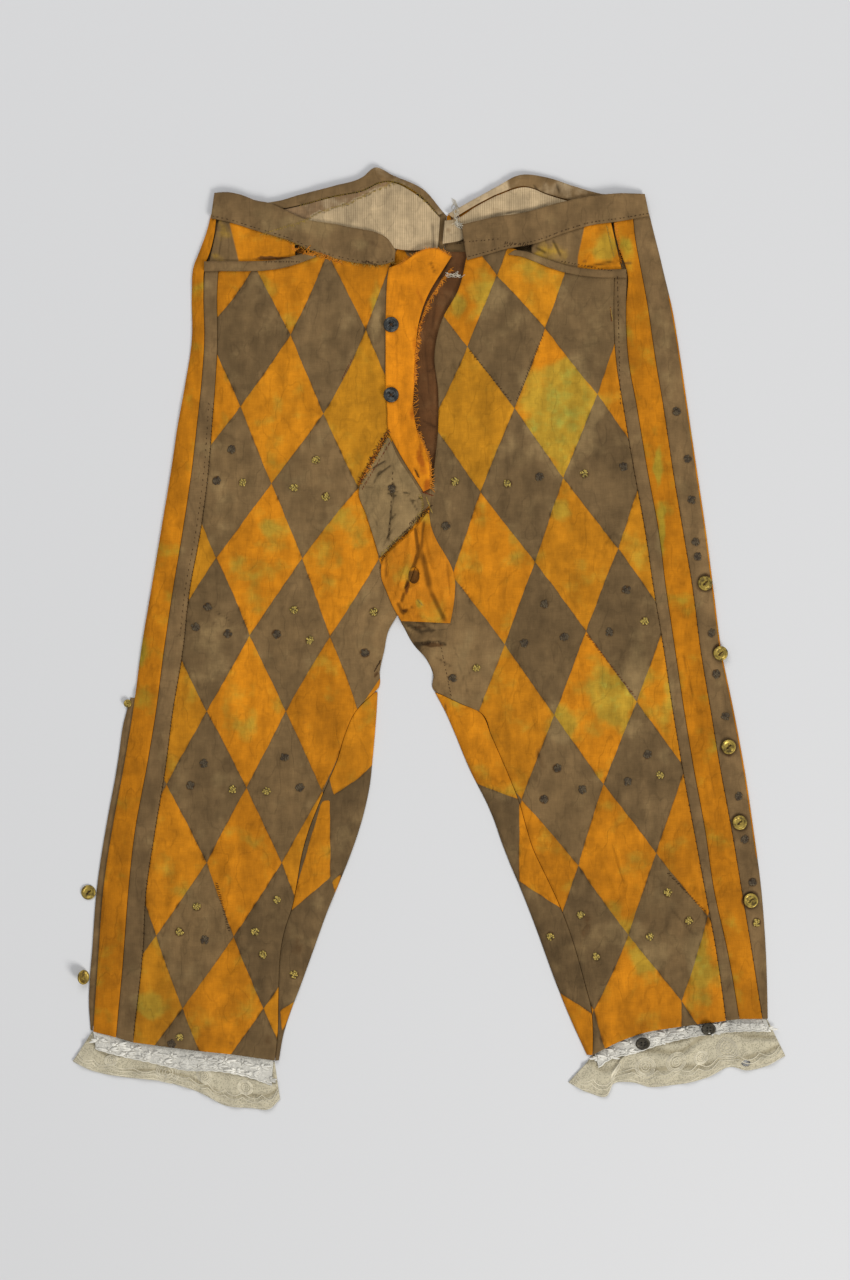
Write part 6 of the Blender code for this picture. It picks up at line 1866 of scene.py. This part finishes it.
y = np.linspace(214.0, -358.0, 90)
right_tape = stack(column(RIGHT_SECTIONS, "tape_inner", y), y)
left_tape = stack(column(LEFT_SECTIONS, "tape_inner", y), y)
stripe_edge = stack(column(LEFT_SECTIONS, "stripe_outer", y), y)
band_edge = smooth(LEFT_BAND["lower"], 60) + (0.0, 2.4)
dark = [stitches(right_tape, 4.0, 2.0, 55, 1), stitches(right_tape[:34] - (4.0, 0.0), 5.2, 2.0, 5, 2),
        stitches(left_tape, 6.5, 2.0, 50, 3), stitches(stripe_edge, 9.0, 2.2, 10, 4),
        stitches(band_edge, 3.6, 2.0, 10, 5),
        stitches(smooth(RIGHT_BAND["lower"], 60) + (0.0, 2.2), 4.4, 2.0, 10, 6)]
add_threads("dark_stitches", dark + runs(DARK_RUNS, 30), 0.28, DARK_THREAD, "brown_cotton")
add_threads("red_stitches", runs(RED_RUNS, 80), 0.26, RED_THREAD, "orange_cotton")
add_threads("gold_stitches", runs(GOLD_RUNS, 120), 0.24, GOLD_THREAD, "orange_cotton")

# %% Frayed edges
# Two marked pixels, pitch and length in mm, the side that the threads leave to, and a seed
ORANGE_FRAYS = (
    (318, 254, 342, 262, 0.9, 4.0, -1, 9), (388, 431, 358, 485, 0.6, 3.4, 1, 10),
    (292, 250, 314, 257, 0.4, 7.0, 1, 20), (316, 256, 342, 264, 0.6, 4.0, 1, 21),
    (614, 224, 621, 264, 0.6, 3.0, 1, 22),
)
RED_FRAYS = ((390, 430, 360, 484, 1.2, 3.0, -1, 91),)
DARK_FRAYS = (
    (389, 431, 361, 482, 1.0, 3.4, -1, 93), (432, 505, 389, 548, 1.0, 3.0, 1, 94),
    (366, 262, 378, 266, 1.0, 2.4, -1, 95),
)
PALE_LINES = (
    (((452, 199), (456, 212), (458, 226)), 6, 1.5, 16),
    (((455, 222), (460, 227), (457, 224), (462, 226)), 7, 1.6, 17, 1.0),
    (((446, 274), (453, 276), (461, 276)), 6, 1.3, 18, 0.9),
)


def frays(rows):
    """Frayed threads for each row of a table."""
    return [fringe(on_cloth(((x0, y0), (x1, y1))), *rest) for x0, y0, x1, y1, *rest in rows]


stand_edge = table_edges(FLY_STAND)[1]
orange = [fringe(stand_edge[::-1][2:], 0.5, 3.4, -1, 7), fringe(stand_edge, 2.0, 4.6, 1, 8),
          fringe(np.array(FLY_STAND_TOP, float)[1:], 0.7, 2.8, 1, 70), *frays(ORANGE_FRAYS),
          fringe(np.array(FLY_STAND_TAIL["right"], float), 0.6, 3.4, 1, 11)]
red = [fringe(stand_edge[::-1][2:], 1.3, 3.6, -1, 90), *frays(RED_FRAYS)]
brown = [fringe(smooth(RIGHT_BAND["lower"][3:], 60), 1.6, 2.6, -1, 12),
         fringe(smooth(TORN_EDGE, 40), 1.2, 2.6, -1, 13),
         fringe(smooth(PATCH["right"][2:], 50), 0.9, 2.6, -1, 14),
         fringe(smooth(RIGHT_BACK_BAND["inner"][2:], 60), 1.8, 2.2, -1, 15)]
add_threads("frayed_orange", orange, 0.22, ORANGE_THREAD, "orange_cotton")
add_threads("frayed_red", red, 0.22, RED_THREAD, "orange_cotton")
add_threads("frayed_dark", frays(DARK_FRAYS), 0.24, DARK_THREAD, "brown_cotton")
add_threads("frayed_brown", brown, 0.16, GOLD_THREAD, "brown_cotton")
pale = [loose(on_cloth(line), *rest) for line, *rest in PALE_LINES]
add_threads("pale_threads", pale, 0.2, PALE_THREAD, "striped_lining")

# %% Orange edge outside the left button strip
PIPING = {"inset": 0.9, "height": 1.9, "radius": 0.85}

y = np.linspace(311.0, -198.0, 120)
piping = np.stack((column(LEFT_SECTIONS, "outer", y) - PIPING["inset"], y,
                   np.full_like(y, PIPING["height"])), axis=-1)
add_piece(ring_mesh("orange_piping", tube_rings(piping[None], PIPING["radius"], 8)), ORANGE_COTTON,
          "orange_cotton")

# %% [markdown]
# ## Rosettes
#
# Each rosette is a round cluster of small domed spangles, bright or tarnished. One spangle is a profile
# turned about its axis, and one array operation copies it to all places of all rosettes.

# %% Rosettes
SPANGLE = {"radius": (0.02, 0.55, 0.9, 1.0, 0.9), "height": (0.95, 0.8, 0.45, 0.15, 0.0)}
SPANGLE_RADIUS = {"rosettes_gilt": 1.15, "rosettes_tarnished": 1.3}
ROSETTE_RADIUS = 2.7


def spangles(places, radius, tall):
    """Domes of one profile at many places on the cloth (an array of places x 2)."""
    turn = np.linspace(0.0, 2.0 * math.pi, 8, endpoint=False)
    r, z = [np.array(SPANGLE[k])[:, None] for k in ("radius", "height")]
    dome = np.stack((radius * r * np.cos(turn), radius * r * np.sin(turn), tall * z + 0.0 * turn), axis=-1)
    base = np.concatenate((places, top_at(places)[:, None] - 0.08), axis=1)
    return base[:, None, None] + dome[None]


def rosette_places(marked, seed):
    """Eight places round each marked pixel and four nearer its middle, all a little off."""
    luck = np.random.default_rng(seed)
    turn = np.concatenate((np.arange(8) / 8, np.arange(4) / 4)) * 2.0 * math.pi
    turn = turn + luck.uniform(0.0, 2.0, (len(marked), 1)) + luck.normal(0.0, 0.2, (len(marked), 12))
    reach = ROSETTE_RADIUS * np.repeat((1.0, 0.42), (8, 4)) * luck.uniform(0.75, 1.2, turn.shape)
    return (on_cloth(marked)[:, None] + stack(reach * np.cos(turn), reach * np.sin(turn))).reshape(-1, 2)


GILT = metal("gilt_spangles", (184, 158, 72), 0.38, (66, 54, 32), 0.5, 0.0011)
TARNISH = metal("tarnished_spangles", (80, 66, 42), 0.55, (54, 42, 28), 0.3)
for title, marked, finish, seed in (("rosettes_gilt", BRIGHT_ROSETTES, GILT, 60),
                                    ("rosettes_tarnished", DARK_ROSETTES, TARNISH, 61)):
    places = rosette_places(marked, seed)
    add_piece(ring_mesh(title, spangles(places, SPANGLE_RADIUS[title], 0.6)), finish, "brass")
    print(title, len(marked), "rosettes of", len(places) // len(marked), "spangles")

# %% [markdown]
# ## Lace patterns
#
# The cream lace has scalloped cords beside its edge and ringed medallions, and the white lace a row of
# leafy flowers. Both are drawn in the lace's own directions, s along the hem and t towards the edge, and
# read off its grid, so they ride on the gathers.

# %% Places on the lace
def on_lace(name, s, t):
    """Places and heights of a lace sheet at s along its hem and t from the hem to its free edge."""
    grid, high = lace_grids[name]
    rows, cols = grid.shape[0] - 1, grid.shape[1] - 1
    i, j = np.clip(s, 0.0, 1.0) * rows, np.clip(t, 0.0, 1.0) * cols
    i0, j0 = np.minimum(i.astype(int), rows - 1), np.minimum(j.astype(int), cols - 1)
    u, v = (i - i0)[..., None], (j - j0)[..., None]
    p = np.concatenate((grid, high[..., None]), axis=-1)
    return ((p[i0, j0] * (1 - u) + p[i0 + 1, j0] * u) * (1 - v)
            + (p[i0, j0 + 1] * (1 - u) + p[i0 + 1, j0 + 1] * u) * v)


# %% Cords and medallions of the cream lace
CORD = cotton("lace_cord", (226, 217, 192), (226, 217, 192))
CORD_PALE = cotton("pale_lace_cord", (230, 226, 214), (230, 226, 214))
SCALLOPS = {"right": 11, "left": 10}
# Middle along the hem and towards the edge, and radius in mm
MEDALLIONS = {
    "right": ((0.44, 0.7, 10.0), (0.16, 0.6, 5.5), (0.62, 0.55, 7.0), (0.83, 0.6, 6.5)),
    "left": ((0.355, 0.66, 8.5), (0.5, 0.6, 8.5), (0.75, 0.6, 9.5), (0.2, 0.62, 6.0), (0.62, 0.62, 6.0)),
}
MEDALLION_RINGS = (0.22, 0.45, 0.72, 0.86, 1.0)
# Distance from the free edge and depth of each scalloped cord, as shares of the lace's depth
SCALLOP_ROWS = ((0.0, 0.05), (0.09, 0.1), (0.16, 0.12))


def line_length(p):
    """Length of a line of places."""
    return float(np.linalg.norm(np.diff(p, axis=0), axis=1).sum())


s = np.linspace(0.0, 1.0, 420)
a = np.linspace(0.0, 2.0 * math.pi, 41)
for side in ("right", "left"):
    drift = 0.5 * soft_noise(s * LACE_RUN, 0.0 * s, 40.0, 45)
    uneven = 0.75 + 0.25 * soft_noise(s * LACE_RUN, s, 25.0, 46)
    scallop = np.abs(np.sin(math.pi * SCALLOPS[side] * s + drift)) * uneven
    cords = [on_lace("cream_" + side, s, 0.99 - gap - depth * (1.0 - scallop))
             for gap, depth in SCALLOP_ROWS]
    add_piece(ring_mesh(f"scallop_cords_{side}", tube_rings(np.stack(cords), 0.4)), CORD, "cream_lace")
    grid = lace_grids["cream_" + side][0]
    hem_length = line_length(grid[:, LACE_COLUMNS["cream"] // 2])
    rings = []
    for s0, t0, size in MEDALLIONS[side]:
        deep = line_length(grid[int(s0 * (LACE_STATIONS - 1))])
        rings += [on_lace("cream_" + side, s0 + share * size * np.cos(a) / hem_length,
                          t0 + share * size * np.sin(a) / deep) for share in MEDALLION_RINGS]
    add_piece(ring_mesh(f"medallions_{side}", tube_rings(np.stack(rings), 0.42)), CORD, "cream_lace")

# %% Flowers of the white lace
FLOWERS = {"right": 10, "left": 10}
PETALS = 6
for side in ("right", "left"):
    luck = np.random.default_rng(91 if side == "right" else 92)
    s0 = np.concatenate((np.arange(FLOWERS[side]) + 0.3, np.arange(FLOWERS[side]) + 0.8)) / FLOWERS[side]
    s0 = s0 + luck.normal(0.0, 0.006, s0.shape)
    t0 = np.repeat((0.38, 0.72), FLOWERS[side]) + luck.normal(0.0, 0.05, s0.shape)
    heart = on_lace("white_" + side, s0, t0)
    turn = 2.0 * math.pi * (np.arange(PETALS) / PETALS + luck.uniform(0.0, 1.0, (len(s0), 1)))
    way = stack(1.9 * np.cos(turn), 0.55 * np.sin(turn))
    size = luck.uniform(3.0, 6.5, turn.shape)[..., None]
    u = np.linspace(0.12, 1.0, 8)
    p = heart[:, None, None, :2] + u[:, None] * (way * size)[:, :, None]
    z = heart[:, None, None, 2] + 0.45 * np.sin(math.pi * u) + 0.15
    petals = np.concatenate((p, np.broadcast_to(z[..., None], p.shape[:3] + (1,))), -1).reshape(-1, 8, 3)
    width = np.sin(math.pi * np.linspace(0.0, 1.0, 8)) ** 0.6
    flat = (tube_rings(petals, 1.1) - petals[:, :, None]) * (1.0, 1.0, 0.45)
    rings = petals[:, :, None] + flat * width[:, None, None]
    add_piece(ring_mesh(f"lace_flowers_{side}", rings), CORD_PALE, "white_lace")
    free = on_lace("white_" + side, s, 0.9 + 0.08 * np.abs(np.sin(math.pi * 2 * FLOWERS[side] * s)))
    add_piece(ring_mesh(f"lace_edge_{side}", tube_rings(free[None] + (0.0, 0.0, 0.1), 0.55)), CORD_PALE,
              "white_lace")

# %% Thread through the buttons
SIDE_THREAD = {"across": (-1.9, -0.9, 0.0, 0.9, 1.9), "rise": (-0.5, 0.35, 0.5, 0.35, -0.5)}
FLY_THREAD = {"across": (-1.6, -0.8, 0.0, 0.8, 1.6), "rise": (-0.4, 0.35, 0.45, 0.35, -0.4)}


def through_holes(x, y, z, thread, slant=1.0):
    """A thread's path over a button's middle, along one diagonal or the other."""
    return [(x + d, y + slant * d, z + h) for d, h in zip(thread["across"], thread["rise"])]


slots = []
for x, y in (*LEFT_SIDE_BUTTONS, RIGHT_FLAT_BUTTON):
    under = under_button(x, y, SIDE_BUTTON_RADIUS) + CLOTH_WALL + BUTTON_CLEARANCE if x > 0 else 0.0
    slots.append(through_holes(x, y, under + BUTTON_THICKNESS * 0.5, SIDE_THREAD))
for x, y in FLY_BUTTONS:
    under = under_button(x, y, FLY_BUTTON_RADIUS) + OVERLAY + CLOTH_WALL + BUTTON_CLEARANCE
    slots += [through_holes(x, y, under + BUTTON_THICKNESS * 0.5, FLY_THREAD, slant)
              for slant in (1.0, -1.0)]
add_piece(ring_mesh("button_threads", tube_rings(np.array(slots), 0.5)), DARK_THREAD, "brown_cotton")
print("triangles so far:", triangle_count)
